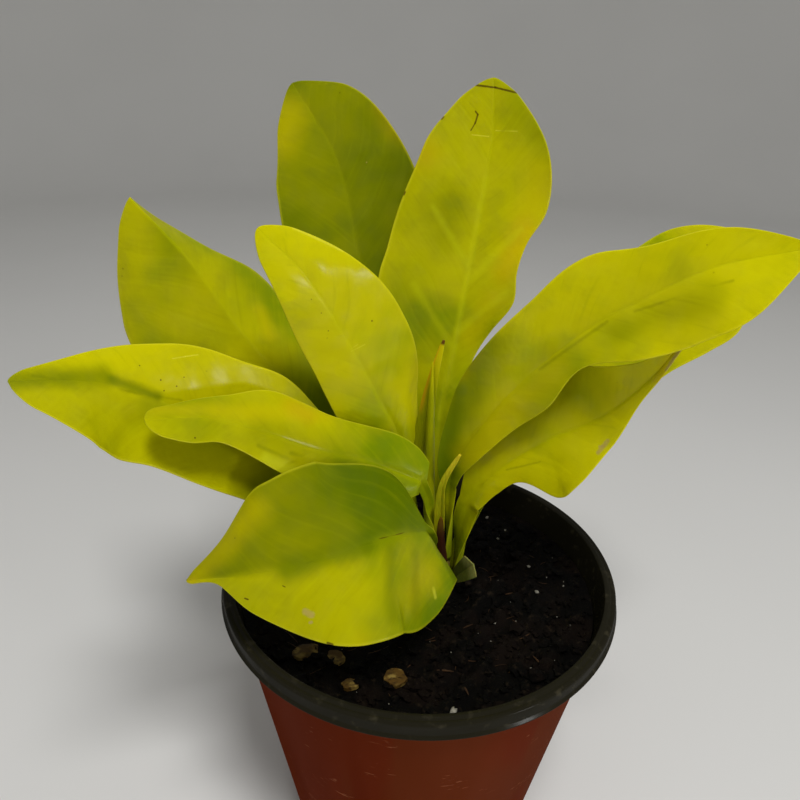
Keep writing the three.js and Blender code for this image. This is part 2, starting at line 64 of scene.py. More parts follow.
forward = Vector((0, math.cos(LOOK_DOWN), -math.sin(LOOK_DOWN)))
level_right = Vector((1, 0, 0))
level_up = level_right.cross(forward)
camera_right = math.cos(ROLL) * level_right + math.sin(ROLL) * level_up
camera_up = math.cos(ROLL) * level_up - math.sin(ROLL) * level_right
to_rim_right = (RIM_CENTRE_PIXEL[0] - PICTURE_SIZE / 2) / FOCAL_PIXELS * RIM_DEPTH
to_rim_down = (RIM_CENTRE_PIXEL[1] - PICTURE_SIZE / 2) / FOCAL_PIXELS * RIM_DEPTH
camera_place = rim_centre - forward * RIM_DEPTH - camera_right * to_rim_right + camera_up * to_rim_down

bpy.ops.object.camera_add()
camera = bpy.context.object
camera.name = "camera"
camera.matrix_world = Matrix.Translation(camera_place) @ Matrix(
    (camera_right, camera_up, -forward)
).transposed().to_4x4()
camera.data.sensor_width = SENSOR_WIDTH
camera.data.lens = FOCAL_PIXELS / PICTURE_SIZE * SENSOR_WIDTH
camera.data.clip_start = NEAREST_SEEN
bpy.context.scene.camera = camera


# Floor
# A plain pale floor that curves up into a low wall all round, so that no edge shows. It is the stage
# under the plant, and no piece of it.
FLOOR_RADIUS = 1.6
COVE_RADIUS = 0.7
COVE_STEPS = 12
COVE_TOP = 1
FLOOR_THICKNESS = 0.04
FLOOR_MIDDLE = 0.2 * FLOOR_RADIUS
FLOOR_SIDES = 128
FLOOR_TONES = ((214, 213, 210), (222, 221, 218))


class Value:
    """A node's output, for arithmetic on what changes over a surface."""

    def __init__(self, finish, socket):
        self.finish = finish
        self.socket = socket

    def worked(self, operation, *values):
        return self.finish.node("ShaderNodeMath", {"operation": operation}, dict(enumerate(values)))

    def __add__(self, other):
        return self.worked("ADD", self, other)

    def __sub__(self, other):
        return self.worked("SUBTRACT", self, other)

    def __rsub__(self, other):
        return self.worked("SUBTRACT", other, self)

    def __mul__(self, other):
        return self.worked("MULTIPLY", self, other)

    def __abs__(self):
        return self.worked("ABSOLUTE", self)

    __radd__ = __add__
    __rmul__ = __mul__


class Finish:
    """A material, whose sockets that stay the same all over are set straight away."""

    def __init__(self, name, fixed):
        self.material = bpy.data.materials.new(name)
        self.material.use_nodes = True
        self.tree = self.material.node_tree
        self.shader = self.tree.nodes["Principled BSDF"]
        for socket, value in fixed.items():
            self.set(socket, value)

    def set(self, socket, value):
        self.feed(self.shader.inputs[socket], value)

    def feed(self, socket, value):
        if isinstance(value, Value):
            self.tree.links.new(value.socket, socket)
        else:
            socket.default_value = value

    def node(self, kind, settings=None, sockets=None, output=0):
        made = self.tree.nodes.new(kind)
        for setting, value in (settings or {}).items():
            setattr(made, setting, value)
        for socket, value in (sockets or {}).items():
            self.feed(made.inputs[socket], value)
        return Value(self, made.outputs[output])

    def place(self):
        return self.node("ShaderNodeTexCoord", output="Object")

    def stretched(self, scale, turn=(0, 0, 0)):
        """The place, with X, Y and Z each made larger by its own scale."""
        sockets = {"Vector": self.place(), "Scale": scale, "Rotation": turn}
        return self.node("ShaderNodeMapping", sockets=sockets)

    def marked(self, name):
        """What the piece's mesh keeps at each of its points under this name."""
        return self.node("ShaderNodeAttribute", {"attribute_name": name}, output="Fac")

    def speckle(self, scale, detail=3, vector=None):
        """Uneven noise, mostly from 0.3 to 0.7, with patches of about one part of the scale."""
        sockets = {"Vector": vector or self.place(), "Scale": scale, "Detail": detail}
        return self.node("ShaderNodeTexNoise", sockets=sockets, output="Fac")

    def between(self, value, low, high, to_low=0, to_high=1):
        """The value's way from low to high, eased, as a number from to_low to to_high."""
        sockets = {"Value": value, "From Min": low, "From Max": high, "To Min": to_low, "To Max": to_high}
        return self.node("ShaderNodeMapRange", {"interpolation_type": "SMOOTHSTEP"}, sockets)

    def mixed(self, share, first, second):
        """A colour that turns from the first to the second as the share goes from 0 to 1."""
        return self.node("ShaderNodeMix", {"data_type": "RGBA"}, {0: share, 6: first, 7: second}, 2)

    def arrow(self, operation, sockets, output="Vector"):
        return self.node("ShaderNodeVectorMath", {"operation": operation}, sockets, output)

    def nearness(self, start, end, width, core, wander):
        """1 on the line from start to end, easing to 0 at the given distance from it."""
        way = end - start
        away = self.arrow("SUBTRACT", {0: self.place(), 1: start})
        if way.length > 0:
            passed = self.arrow("DOT_PRODUCT", {0: away, 1: way / way.length_squared}, "Value")
            passed = self.node("ShaderNodeClamp", sockets={"Value": passed})
            foot = self.arrow("SCALE", {0: way, "Scale": passed})
            away = self.arrow("SUBTRACT", {0: away, 1: foot})
        away = self.arrow("LENGTH", {0: away}, "Value") + (self.speckle(0.6 / width, 3) - 0.5) * wander
        return self.between(away, width, core * width)

    def raised(self, height, distance):
        """Fine relief, as a bump of the given height in metres."""
        sockets = {"Height": height, "Distance": distance, "Strength": 1}
        self.set("Normal", self.node("ShaderNodeBump", sockets=sockets))


def colour(red, green, blue):
    """A colour as a screen shows it, from 0 to 255."""
    return tuple(((part / 255 + 0.055) / 1.055) ** 2.4 if part > 10 else part / 255 / 12.92
                 for part in (red, green, blue)) + (1,)


def colours(tones):
    return [colour(*tone) for tone in tones]


def deselect_all():
    bpy.ops.object.select_all(action="DESELECT")


def turned(name, profile, sides, centre=(0, 0)):
    """A ring raised along a profile of radius and height pairs, with both its ends filled."""
    deselect_all()
    radius, height = profile[0]
    bpy.ops.mesh.primitive_circle_add(vertices=sides, radius=radius, location=(*centre, height))
    piece = bpy.context.object
    piece.name = name
    bpy.ops.object.mode_set(mode="EDIT")
    bpy.ops.mesh.select_all(action="SELECT")
    for (last_radius, last_height), (radius, height) in zip(profile, profile[1:]):
        bpy.ops.mesh.extrude_region_move(TRANSFORM_OT_translate={"value": (0, 0, height - last_height)})
        grown = radius / last_radius
        bpy.ops.transform.resize(value=(grown, grown, 1), center_override=(*centre, height))
    bpy.ops.mesh.edge_face_add()
    bpy.ops.mesh.select_non_manifold(extend=False)
    bpy.ops.mesh.edge_face_add()
    bpy.ops.mesh.select_all(action="SELECT")
    bpy.ops.mesh.normals_make_consistent(inside=False)
    bpy.ops.object.mode_set(mode="OBJECT")
    bpy.ops.object.transform_apply(location=True, rotation=True, scale=True)
    return piece


def smoothed(degrees):
    """The selected piece is shaded smooth, apart from edges sharper than this."""
    bpy.ops.object.shade_smooth_by_angle(angle=math.radians(degrees))


wall_radius = FLOOR_RADIUS + COVE_RADIUS
floor_profile = [(FLOOR_MIDDLE, 0)]
for step in range(COVE_STEPS + 1):
    angle = math.pi / 2 * step / COVE_STEPS
    floor_profile.append((FLOOR_RADIUS + COVE_RADIUS * math.sin(angle), COVE_RADIUS * (1 - math.cos(angle))))
floor_profile.append((wall_radius, COVE_TOP))
floor_profile.append((wall_radius + FLOOR_THICKNESS, COVE_TOP))
floor_profile.append((wall_radius + FLOOR_THICKNESS, -FLOOR_THICKNESS))
floor_profile.append((FLOOR_MIDDLE, -FLOOR_THICKNESS))
floor = turned("floor", floor_profile, FLOOR_SIDES)
smoothed(30)
floor_finish = Finish("pale_floor", {"Roughness": 0.7, "Specular IOR Level": 0.2})
floor_finish.set("Base Color", floor_finish.mixed(floor_finish.speckle(3, 2), *colours(FLOOR_TONES)))
floor.data.materials.append(floor_finish.material)

# Light
# A soft lamp stands high in front. A small low one at the right puts the gloss on leaves and plastic, and
# wide weak ones light both sides, in a pale room.
PLANT_MIDDLE = Vector((0, 0, 0.19))
ROOM_LIGHT = 0.3
ROOM_TONE = (232, 232, 230)
LAMPS = [
    {"name": "key_lamp", "towards": (0.15, -0.45, 1.0), "away": 1.15, "width": 0.3, "watts": 11},
    {"name": "gloss_lamp", "towards": (0.74, -0.64, 0.1), "away": 1.1, "width": 0.14, "watts": 1.6},
    {"name": "left_lamp", "towards": (-0.7, -1.0, 0.35), "away": 1.6, "width": 0.9, "watts": 1.5},
    {"name": "right_lamp", "towards": (0.5, -1.0, 0.25), "away": 1.6, "width": 0.9, "watts": 2},
]

for lamp in LAMPS:
    towards = Vector(lamp["towards"]).normalized()
    bpy.ops.object.light_add(type="AREA", location=PLANT_MIDDLE + towards * lamp["away"])
    lit = bpy.context.object
    lit.name = lamp["name"]
    lit.rotation_euler = towards.to_track_quat("Z", "Y").to_euler()
    lit.data.size = lamp["width"]
    lit.data.energy = lamp["watts"]
    lit.visible_glossy = lamp["name"] == "gloss_lamp"

room = bpy.data.worlds.new("room")
bpy.context.scene.world = room
room.use_nodes = True
backdrop = room.node_tree.nodes["Background"]
backdrop.inputs["Color"].default_value = colour(*ROOM_TONE)
backdrop.inputs["Strength"].default_value = ROOM_LIGHT
bpy.context.scene.view_settings.view_transform = "Standard"


# Pot
# A thermoformed nursery pot of thin two-layer plastic, terracotta outside and black inside.
# Its edge is rolled outwards into a lip, so the black layer shows there. It stands on a ring and a hub.
pot_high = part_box("pot")[1]
POT_HEIGHT = pot_high.z
LIP_RADIUS = pot_high.x
WALL = 1.2 * MM
LIP_DROP = 6 * MM
LIP_SKIN = 1.3 * MM
WALL_TOP_RADIUS = LIP_RADIUS - 5 * MM
BASE_RADIUS = 49 * MM
FOOT_WIDTH = 7 * MM
FOOT_RECESS = 2 * MM
HUB_RADIUS = 14 * MM
FLOOR_TOP = 3.5 * MM
DRAIN_COUNT = 6
DRAIN_RADIUS = 5 * MM
DRAIN_RING = 28 * MM
POT_SIDES = 144
FILLET_STEPS = 4
FOOT_ROUNDING = 0.8 * MM
FOLD_ROUNDING = 0.6 * MM
BEAD = 0.8 * MM
RIDGE = 0.6 * MM
DRAIN_SIDES = 32
NEAR = 0.1 * MM
SCUFF_GRAIN = (170, 170, 1500)
REFLECTION_CLOUD_GRAIN = (42, 42, 4)
REFLECTION_BAND_GRAIN = (50, 50, 5)
HANDLED_GRAIN = (60, 60, 260)
TERRACOTTA_TONES = ((80, 22, 2), (106, 38, 5))
TERRACOTTA_REFLECTION = (92, 42, 14)
SCUFF_TONE = (164, 100, 66)
BLACK_TONE = (28, 26, 17)
DUST_TONE = (66, 61, 46)


def wall_outside(z):
    return BASE_RADIUS + (WALL_TOP_RADIUS - BASE_RADIUS) * z / (POT_HEIGHT - LIP_DROP)


def rounded(corners):
    """A profile with each corner, given as radius, height and rounding, turned into an arc."""
    profile = []
    for i, (radius, height, rounding) in enumerate(corners):
        corner = Vector((radius, height))
        if rounding == 0 or i in (0, len(corners) - 1):
            profile.append(corner)
            continue
        before = (Vector(corners[i - 1][:2]) - corner).normalized() * rounding
        after = (Vector(corners[i + 1][:2]) - corner).normalized() * rounding
        for step in range(FILLET_STEPS + 1):
            s = step / FILLET_STEPS
            profile.append(corner + before * (1 - s) ** 2 + after * s ** 2)
    return profile


def picked(piece):
    deselect_all()
    piece.select_set(True)
    bpy.context.view_layer.objects.active = piece


def bored(piece, sides, radius, depth, middle):
    """A round upright hole is taken out of the piece, which stays selected."""
    deselect_all()
    bpy.ops.mesh.primitive_cylinder_add(vertices=sides, radius=radius, depth=depth, location=middle)
    cutter = bpy.context.object
    picked(piece)
    cut = piece.modifiers.new("cut", "BOOLEAN")
    cut.operation = "DIFFERENCE"
    cut.solver = "EXACT"
    cut.object = cutter
    bpy.ops.object.modifier_apply(modifier=cut.name)
    bpy.data.objects.remove(cutter)


def settled(piece, finish, slot, *nodes):
    """The shaped piece gets its finish, rides on the plant's one body and stands for its plain solids."""
    piece.data.materials.append(finish.material)
    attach(piece, "root")
    if nodes:
        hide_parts(*nodes)


foot_inside = BASE_RADIUS - FOOT_WIDTH
lip_bottom = POT_HEIGHT - LIP_DROP
lip_roof = POT_HEIGHT - LIP_SKIN
pot_profile = rounded([
    (HUB_RADIUS - 1.5 * MM, 0, 0),
    (HUB_RADIUS, 0, FOOT_ROUNDING),
    (HUB_RADIUS + 1 * MM, FOOT_RECESS, FOOT_ROUNDING),
    (foot_inside - 1 * MM, FOOT_RECESS, FOOT_ROUNDING),
    (foot_inside, 0, FOOT_ROUNDING),
    (BASE_RADIUS, 0, 2.2 * MM),
    (wall_outside(lip_roof), lip_roof, FOLD_ROUNDING),
    (LIP_RADIUS - LIP_SKIN, lip_roof, FOLD_ROUNDING),
    (LIP_RADIUS - LIP_SKIN, lip_bottom, 0.2 * MM),
    (LIP_RADIUS - 0.1 * MM, lip_bottom, 0.1 * MM),
    (LIP_RADIUS, lip_bottom + 0.3 * MM, 0.15 * MM),
    (LIP_RADIUS - BEAD, lip_bottom + 1.4 * MM, 0.3 * MM),
    (LIP_RADIUS - BEAD, POT_HEIGHT - 0.4 * MM, 1.4 * MM),
    (wall_outside(POT_HEIGHT) + 1.3 * MM, POT_HEIGHT - RIDGE, 0.2 * MM),
    (wall_outside(POT_HEIGHT) + 0.5 * MM, POT_HEIGHT, 0.3 * MM),
    (wall_outside(POT_HEIGHT) - 0.9 * MM, POT_HEIGHT, 0.7 * MM),
    (wall_outside(POT_HEIGHT - 5 * MM) - WALL, POT_HEIGHT - 5 * MM, 1 * MM),
    (wall_outside(FLOOR_TOP) - WALL, FLOOR_TOP, 2 * MM),
    (HUB_RADIUS, FLOOR_TOP, 0),
])
pot = turned("nursery_pot", pot_profile, POT_SIDES)
for hole in range(DRAIN_COUNT):
    angle = 2 * math.pi * hole / DRAIN_COUNT
    middle = (DRAIN_RING * math.cos(angle), DRAIN_RING * math.sin(angle), FLOOR_TOP)
    bored(pot, DRAIN_SIDES, DRAIN_RADIUS, 4 * FLOOR_TOP, middle)
smoothed(40)

# Terracotta with scuffs. The upright bands are painted reflection, and the cloudy tone is partly painted
# reflection too; the clouds also vary the coat, the roughness and a faint relief.
terracotta = Finish("terracotta_plastic", {"Specular IOR Level": 0, "Coat Roughness": 0.2})
scuffs = terracotta.speckle(1, 2, terracotta.stretched(SCUFF_GRAIN))
scuff_areas = terracotta.between(terracotta.speckle(70, 2), 0.55, 0.62)
scuff = terracotta.between(scuffs, 0.64, 0.69) * scuff_areas
cloud_and_reflection = terracotta.speckle(1, 3, terracotta.stretched(REFLECTION_CLOUD_GRAIN))
reflection_bands = terracotta.between(terracotta.speckle(1, 1, terracotta.stretched(REFLECTION_BAND_GRAIN)), 0.44, 0.56)
wall_colour = terracotta.mixed(cloud_and_reflection, *colours(TERRACOTTA_TONES))
wall_colour = terracotta.mixed(reflection_bands * 0.5, wall_colour, colour(*TERRACOTTA_REFLECTION))
wall_colour = terracotta.mixed(scuff * 0.5, wall_colour, colour(*SCUFF_TONE))
terracotta.set("Base Color", wall_colour)
terracotta.set("Roughness", 0.4 + 0.2 * cloud_and_reflection)
terracotta.set("Coat Weight", 0.01 + 0.06 * cloud_and_reflection)
terracotta.raised(cloud_and_reflection - 0.3 * scuff, 0.25 * MM)

black_plastic = Finish("black_plastic", {"Specular IOR Level": 0, "Coat Roughness": 0.22})
handled = black_plastic.speckle(1, 4, black_plastic.stretched(HANDLED_GRAIN))
dust = black_plastic.between(black_plastic.speckle(240, 4), 0.56, 0.75)
black_plastic.set("Base Color", black_plastic.mixed(dust * 0.5, colour(*BLACK_TONE), colour(*DUST_TONE)))
black_plastic.set("Roughness", 0.4 + 0.25 * handled)
black_plastic.set("Coat Weight", 0.08 + 0.22 * handled)
black_plastic.raised(handled, 0.12 * MM)

settled(pot, terracotta, "pot", "pot")
pot.data.materials.append(black_plastic.material)
for face in pot.data.polygons:
    middle = face.center
    from_axis = math.hypot(middle.x, middle.y)
    is_inside = middle.z > FLOOR_TOP - NEAR and from_axis < wall_outside(middle.z) - 0.5 * WALL
    is_lip = middle.z > lip_bottom - NEAR and from_axis > wall_outside(middle.z) + 2 * NEAR
    face.material_index = 1 if is_inside or is_lip or middle.z > lip_roof + NEAR else 0

# Soil
# Dark, chunky potting mix: peat crumbs, fibres and a few grains of perlite. It sinks to a dish round
# the crown, leaves a socket for the stem, and lies flat where pieces of bark rest on it.
SOIL_GAP = 0.3 * MM
SOIL_LEVEL = 118 * MM
SOIL_LUMP = 1.6 * MM
SOIL_GRAIN = 0.55 * MM
DISH_LEVEL = 115.2 * MM
DISH_RADIUS = 14 * MM
DISH_SLOPE = 9 * MM
STEM_CENTRE = Vector((6 * MM, 9 * MM))
STEM_RADIUS = 7.2 * MM
STEM_ROOT = 66 * MM
CHIP_SEAT = 117.4 * MM
CHIP_SEAT_MARGIN = 6.5 * MM
CHIP_SEAT_SLOPE = 5 * MM
SOIL_RINGS = 75
SOIL_SIDES = 180
SOCKET_SIDES = 40
CROWN_CLEARANCE = 6 * MM
CRUMBS = {"count": 1000, "sizes": (0.9, 2.6), "flatness": 0.7, "from_wall": 1.5 * MM}
LUMPS = {"count": 190, "sizes": (2.8, 5.5), "flatness": 0.6, "from_wall": 3 * MM}
FIBRES = {"count": 90, "sizes": (0.5, 1.2), "flatness": 1, "from_wall": 11 * MM}
GRIT = {"count": 70, "sizes": (0.25, 0.55), "flatness": 1, "from_wall": 4 * MM}
ANY_TURN = 6.28
ANY_TILT = 0.5
GRAIN_DETAIL = 2
STRAND_SIDES = 5
STRAND_STEPS = 6
PEAT_TONES = ((8, 7, 6), (17, 12, 9))
PEAT_LIGHT = (34, 27, 19)
FIBRE_TONES = ((22, 14, 8), (78, 54, 32))
PERLITE_TONES = ((90, 84, 72), (168, 164, 150))
CHIPS = [
    {"node": "bark_chip_1", "centre": (-39.5, -36.5), "size": (11, 7), "turn": 20},
    {"node": "bark_chip_2", "centre": (-28.5, -38.5), "size": (8, 6), "turn": -35},
    {"node": "bark_chip_3", "centre": (-8, -46.5), "size": (8.5, 9), "turn": 60},
    {"node": "bark_chip_4", "centre": (-23, -50), "size": (7, 5), "turn": 10},
]
soil_radius = wall_outside(SOIL_LEVEL) - WALL - SOIL_GAP


def eased(value, low, high):
    s = min(max((value - low) / (high - low), 0), 1)
    return s * s * (3 - 2 * s)


def soil_top(x, y):
    """The height of the bed at a place, without its grain."""
    from_wall = soil_radius + SOIL_GAP - math.hypot(x, y)
    along_x = x / MM
    along_y = y / MM
    waves = math.sin(0.42 * along_x + 1.3) * math.cos(0.37 * along_y - 0.4)
    waves += 0.5 * math.sin(0.6 * along_x - 0.45 * along_y + 2)
    level = SOIL_LEVEL + SOIL_LUMP * waves * eased(from_wall, 1 * MM, 9 * MM)
    for chip in CHIPS:
        centre = Vector(chip["centre"]) * MM
        from_chip = (Vector((x, y)) - centre).length - max(chip["size"]) * MM / 2 - CHIP_SEAT_MARGIN
        level = CHIP_SEAT + (level - CHIP_SEAT) * eased(from_chip, 0, CHIP_SEAT_SLOPE)
    from_crown = (Vector((x, y)) - STEM_CENTRE).length - DISH_RADIUS
    return DISH_LEVEL + (level - DISH_LEVEL) * eased(from_crown, 0, DISH_SLOPE)


def soil_grain(x, y):
    here = Vector((x, y, 0)) / MM
    return SOIL_GRAIN * (noise.noise(here * 0.45) + 0.6 * noise.noise(here * 1.1) - 0.3)


soil_bottom = FLOOR_TOP + SOIL_GAP
bed_profile = [(soil_radius * 0.004, SOIL_LEVEL)]
bed_profile += [(soil_radius * ring / SOIL_RINGS, SOIL_LEVEL) for ring in range(1, SOIL_RINGS + 1)]
bed_profile.append((wall_outside(soil_bottom) - WALL - 1.3 * MM, soil_bottom))
bed = turned("soil_bed", bed_profile, SOIL_SIDES)
for vertex in bed.data.vertices:
    if vertex.co.z > SOIL_LEVEL - 1 * MM:
        vertex.co.z = soil_top(vertex.co.x, vertex.co.y) + soil_grain(vertex.co.x, vertex.co.y)
socket_middle = (*STEM_CENTRE, (POT_HEIGHT + STEM_ROOT) / 2 - SOIL_GAP)
bored(bed, SOCKET_SIDES, STEM_RADIUS + SOIL_GAP, POT_HEIGHT - STEM_ROOT, socket_middle)
smoothed(55)

peat = Finish("peat", {"Specular IOR Level": 0.12})
peat_tone = peat.speckle(420, 5)
peat_patch = peat.between(peat.speckle(70, 3), 0.45, 0.65)
peat_colour = peat.mixed(peat_patch, *colours(PEAT_TONES))
peat_colour = peat.mixed(peat.between(peat_tone, 0.55, 0.8), peat_colour, colour(*PEAT_LIGHT))
peat.set("Base Color", peat_colour)
peat.set("Roughness", 0.95 - 0.3 * peat_tone)
peat.raised(peat_tone + peat.speckle(1500, 2) * 0.4, 0.9 * MM)
settled(bed, peat, "soil", "soil")


def lumpy_grain(name, roughness, seed):
    """One uneven grain, about a millimetre across, to be copied."""
    deselect_all()
    bpy.ops.mesh.primitive_ico_sphere_add(subdivisions=GRAIN_DETAIL, radius=0.5 * MM)
    grain = bpy.context.object
    grain.name = name
    shift = Vector((seed * 7.3, seed * 3.1, seed * 5.7))
    for vertex in grain.data.vertices:
        vertex.co *= 1 + roughness * noise.noise(vertex.co.normalized() * 1.7 + shift)
    return grain


def scattered(name, patterns, places):
    """Copies of the patterns, in turn, one at each place, as one mesh."""
    gathered = bmesh.new()
    for i, place in enumerate(places):
        grain = patterns[i % len(patterns)].data.copy()
        grain.transform(place)
        gathered.from_mesh(grain)
        bpy.data.meshes.remove(grain)
    deselect_all()
    bpy.ops.mesh.primitive_plane_add()
    piece = bpy.context.object
    piece.name = name
    gathered.to_mesh(piece.data)
    gathered.free()
    for pattern in patterns:
        bpy.data.objects.remove(pattern)
    return piece


def on_soil(draw, reach, size, flat):
    """A random place on the bed, turned anyhow, sunk by a third, for a grain of the given size."""
    while True:
        x = draw.uniform(-1, 1) * reach
        y = draw.uniform(-1, 1) * reach
        from_stem = (Vector((x, y)) - STEM_CENTRE).length
        if math.hypot(x, y) < reach and from_stem > STEM_RADIUS + CROWN_CLEARANCE:
            break
    spot = Vector((x, y, soil_top(x, y) + 0.15 * size * MM * flat))
    turn = Matrix.Rotation(draw.uniform(0, ANY_TURN), 4, "Z")
    turn = turn @ Matrix.Rotation(draw.uniform(-ANY_TILT, ANY_TILT), 4, "X")
    scale = Matrix.Diagonal((size * draw.uniform(0.8, 1.5), size, size * flat, 1))
    return Matrix.Translation(spot) @ turn @ scale


def strewn(draw, grains):
    """Random places all over the bed for grains of one kind."""
    reach = soil_radius - grains["from_wall"]
    return [on_soil(draw, reach, draw.uniform(*grains["sizes"]), grains["flatness"])
            for _ in range(grains["count"])]


draw = random.Random(11)
crumb_places = strewn(draw, CRUMBS) + strewn(draw, LUMPS)
crumbs = scattered("peat_crumbs", [lumpy_grain(f"crumb_{k}", 0.9, k) for k in range(7)], crumb_places)
smoothed(50)
settled(crumbs, peat, "soil")


def fibre_strand(name, length, thickness, bend):
    """One bent fibre that lies along X, to be copied."""
    deselect_all()
    bpy.ops.mesh.primitive_cylinder_add(vertices=STRAND_SIDES, radius=thickness / 2, depth=length)
    strand = bpy.context.object
    strand.name = name
    bpy.ops.object.mode_set(mode="EDIT")
    for step in range(1, STRAND_STEPS):
        bpy.ops.mesh.select_all(action="SELECT")
        bpy.ops.mesh.bisect(plane_co=(0, 0, length * (step / STRAND_STEPS - 0.5)), plane_no=(0, 0, 1))
    bpy.ops.object.mode_set(mode="OBJECT")
    for vertex in strand.data.vertices:
        along = vertex.co.z / length
        taper = 1 - 1.2 * abs(along)
        bent = bend * length * along ** 2
        vertex.co = Vector((vertex.co.z, vertex.co.x * taper + bent, vertex.co.y * taper))
    return strand


fibre_patterns = [
    fibre_strand("fibre_long", 7 * MM, 0.4 * MM, 0.25),
    fibre_strand("fibre_short", 4 * MM, 0.7 * MM, -0.1),
    fibre_strand("fibre_curled", 5 * MM, 0.3 * MM, 0.6),
]
fibres = scattered("bark_fibres", fibre_patterns, strewn(random.Random(23), FIBRES))
bpy.ops.object.shade_smooth()
fibre_finish = Finish("dry_fibre", {"Roughness": 0.8})
fibre_tone = fibre_finish.speckle(150, 2)
fibre_finish.set("Base Color", fibre_finish.mixed(fibre_tone, *colours(FIBRE_TONES)))
fibre_finish.raised(fibre_finish.speckle(3000, 2), 0.3 * MM)
settled(fibres, fibre_finish, "soil")

# The grains of perlite that show, each by its place and its size in millimetres.
PERLITE = [
    ((32, 47.4), 1.3), ((39, 37.8), 1.1), ((35.1, 31.1), 1), ((46.6, -2.3), 1.3), ((10.5, -59.8), 2.2),
    ((28, -20), 0.9), ((46, 14), 1.2), ((-30, -55), 0.9), ((-48, -20), 1.1), ((20, 52), 1.2),
    ((-15, 58), 1.6), ((-45, 35), 1.3), ((-58, 8), 0.9), ((38, -42), 0.8),
]
draw = random.Random(5)
perlite_places = []
for (x, y), size in PERLITE:
    spot = Vector((x * MM, y * MM, soil_top(x * MM, y * MM) + 0.35 * size * MM))
    turn = Matrix.Rotation(draw.uniform(0, ANY_TURN), 4, "Z")
    scale = Matrix.Diagonal((size * 1.3, size, size * 0.8, 1))
    perlite_places.append(Matrix.Translation(spot) @ turn @ scale)
perlite_places += strewn(draw, GRIT)
perlite_patterns = [lumpy_grain(f"perlite_{k}", 0.8, k + 20) for k in range(3)]
perlite = scattered("perlite", perlite_patterns, perlite_places)
bpy.ops.object.shade_smooth()
perlite_finish = Finish("perlite", {"Roughness": 0.7})
perlite_tone = perlite_finish.speckle(900, 4)
perlite_finish.set("Base Color", perlite_finish.mixed(perlite_tone, *colours(PERLITE_TONES)))
perlite_finish.raised(perlite_tone, 0.4 * MM)
settled(perlite, perlite_finish, "soil")

# Pieces of bark
# Flakes of composted bark, tan with a darker heart and torn at the edge. They lie loose on flat places
# of the soil.
CHIP_THICKNESS = 2.2 * MM
CHIP_CORNERS = 27
BARK_GRAIN = (380, 900, 600)
BARK_TONES = ((78, 56, 20), (132, 110, 54))
BARK_DARK = (52, 36, 16)


def bark_flake(name, centre, size, turn):
    """A torn round flake that thins towards its edge, with the grain raised on top."""
    deselect_all()
    bottom = CHIP_SEAT + SOIL_GAP
    bpy.ops.mesh.primitive_circle_add(vertices=CHIP_CORNERS, radius=1, fill_type="NGON")
    flake = bpy.context.object
    flake.name = name
    for vertex in flake.data.vertices:
        angle = math.atan2(vertex.co.y, vertex.co.x)
        uneven = 0.88 + 0.12 * math.sin(2 * angle + turn) * math.cos(3 * angle + centre[0])
        cosine = math.cos(angle)
        sine = math.sin(angle)
        torn = noise.noise(Vector((cosine, sine, centre[0])) * 2.2)
        ragged = uneven * (1 - 0.2 * abs(torn))
        vertex.co = Vector((size[0] / 2 * ragged * cosine, size[1] / 2 * ragged * sine, 0)) * MM
    bpy.ops.object.mode_set(mode="EDIT")
    bpy.ops.mesh.select_all(action="SELECT")
    bpy.ops.mesh.inset(thickness=0.6 * MM)
    bpy.ops.mesh.inset(thickness=0.9 * MM)
    bpy.ops.mesh.poke()
    bpy.ops.mesh.select_all(action="SELECT")
    bpy.ops.mesh.subdivide(number_cuts=1)
    bpy.ops.object.mode_set(mode="OBJECT")
    skin = flake.modifiers.new("thickness", "SOLIDIFY")
    skin.thickness = 0.6 * CHIP_THICKNESS
    skin.offset = 1
    bpy.ops.object.modifier_apply(modifier=skin.name)
    for vertex in flake.data.vertices:
        from_middle = Vector((vertex.co.x / (size[0] * MM), vertex.co.y / (size[1] * MM))).length * 2
        crest = 0.2 * CHIP_THICKNESS * (1 - from_middle ** 2) if vertex.co.z > 0 else 0
        grain = 0.5 * MM * noise.noise(vertex.co * 330 + Vector((centre[0], 0, 0)))
        vertex.co.z = max(0, vertex.co.z + max(crest, -0.3 * MM) + grain)
    smoothed(45)
    flake.matrix_world = (Matrix.Translation((centre[0] * MM, centre[1] * MM, bottom))
                          @ Matrix.Rotation(math.radians(turn), 4, "Z"))
    bpy.ops.object.transform_apply(location=True, rotation=True, scale=True)
    return flake


bark = Finish("bark", {"Specular IOR Level": 0.4})
bark_grain = bark.speckle(1, 5, bark.stretched(BARK_GRAIN, (0, 0, 0.5)))
bark_heart = bark.between(bark.speckle(230, 3), 0.42, 0.6)
bark_colour = bark.mixed(bark_heart, *colours(BARK_TONES))
bark_colour = bark.mixed(bark.between(bark_grain, 0.3, 0.5), colour(*BARK_DARK), bark_colour)
bark.set("Base Color", bark_colour)
bark.set("Roughness", 0.6 + 0.3 * bark_grain)
bark.raised(bark_grain, 0.4 * MM)
for chip in CHIPS:
    name = chip["node"].replace("bark_chip", "bark_flake")
    flake = bark_flake(name, chip["centre"], chip["size"], chip["turn"])
    settled(flake, bark, "bark", chip["node"])

# Stem
# The short corky stem that all leaves grow from, ringed by the scars of old leaves. Its root end, which
# is most of it, stands in the soil.
STEM_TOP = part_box("stem")[1].z
STEM_SIDES = 64
SCAR_STEP = 2.4 * MM
SCAR_DEPTH = 0.35 * MM
STEM_GRAIN = (300, 300, 900)
STEM_TONES = ((74, 58, 24), (134, 122, 48))

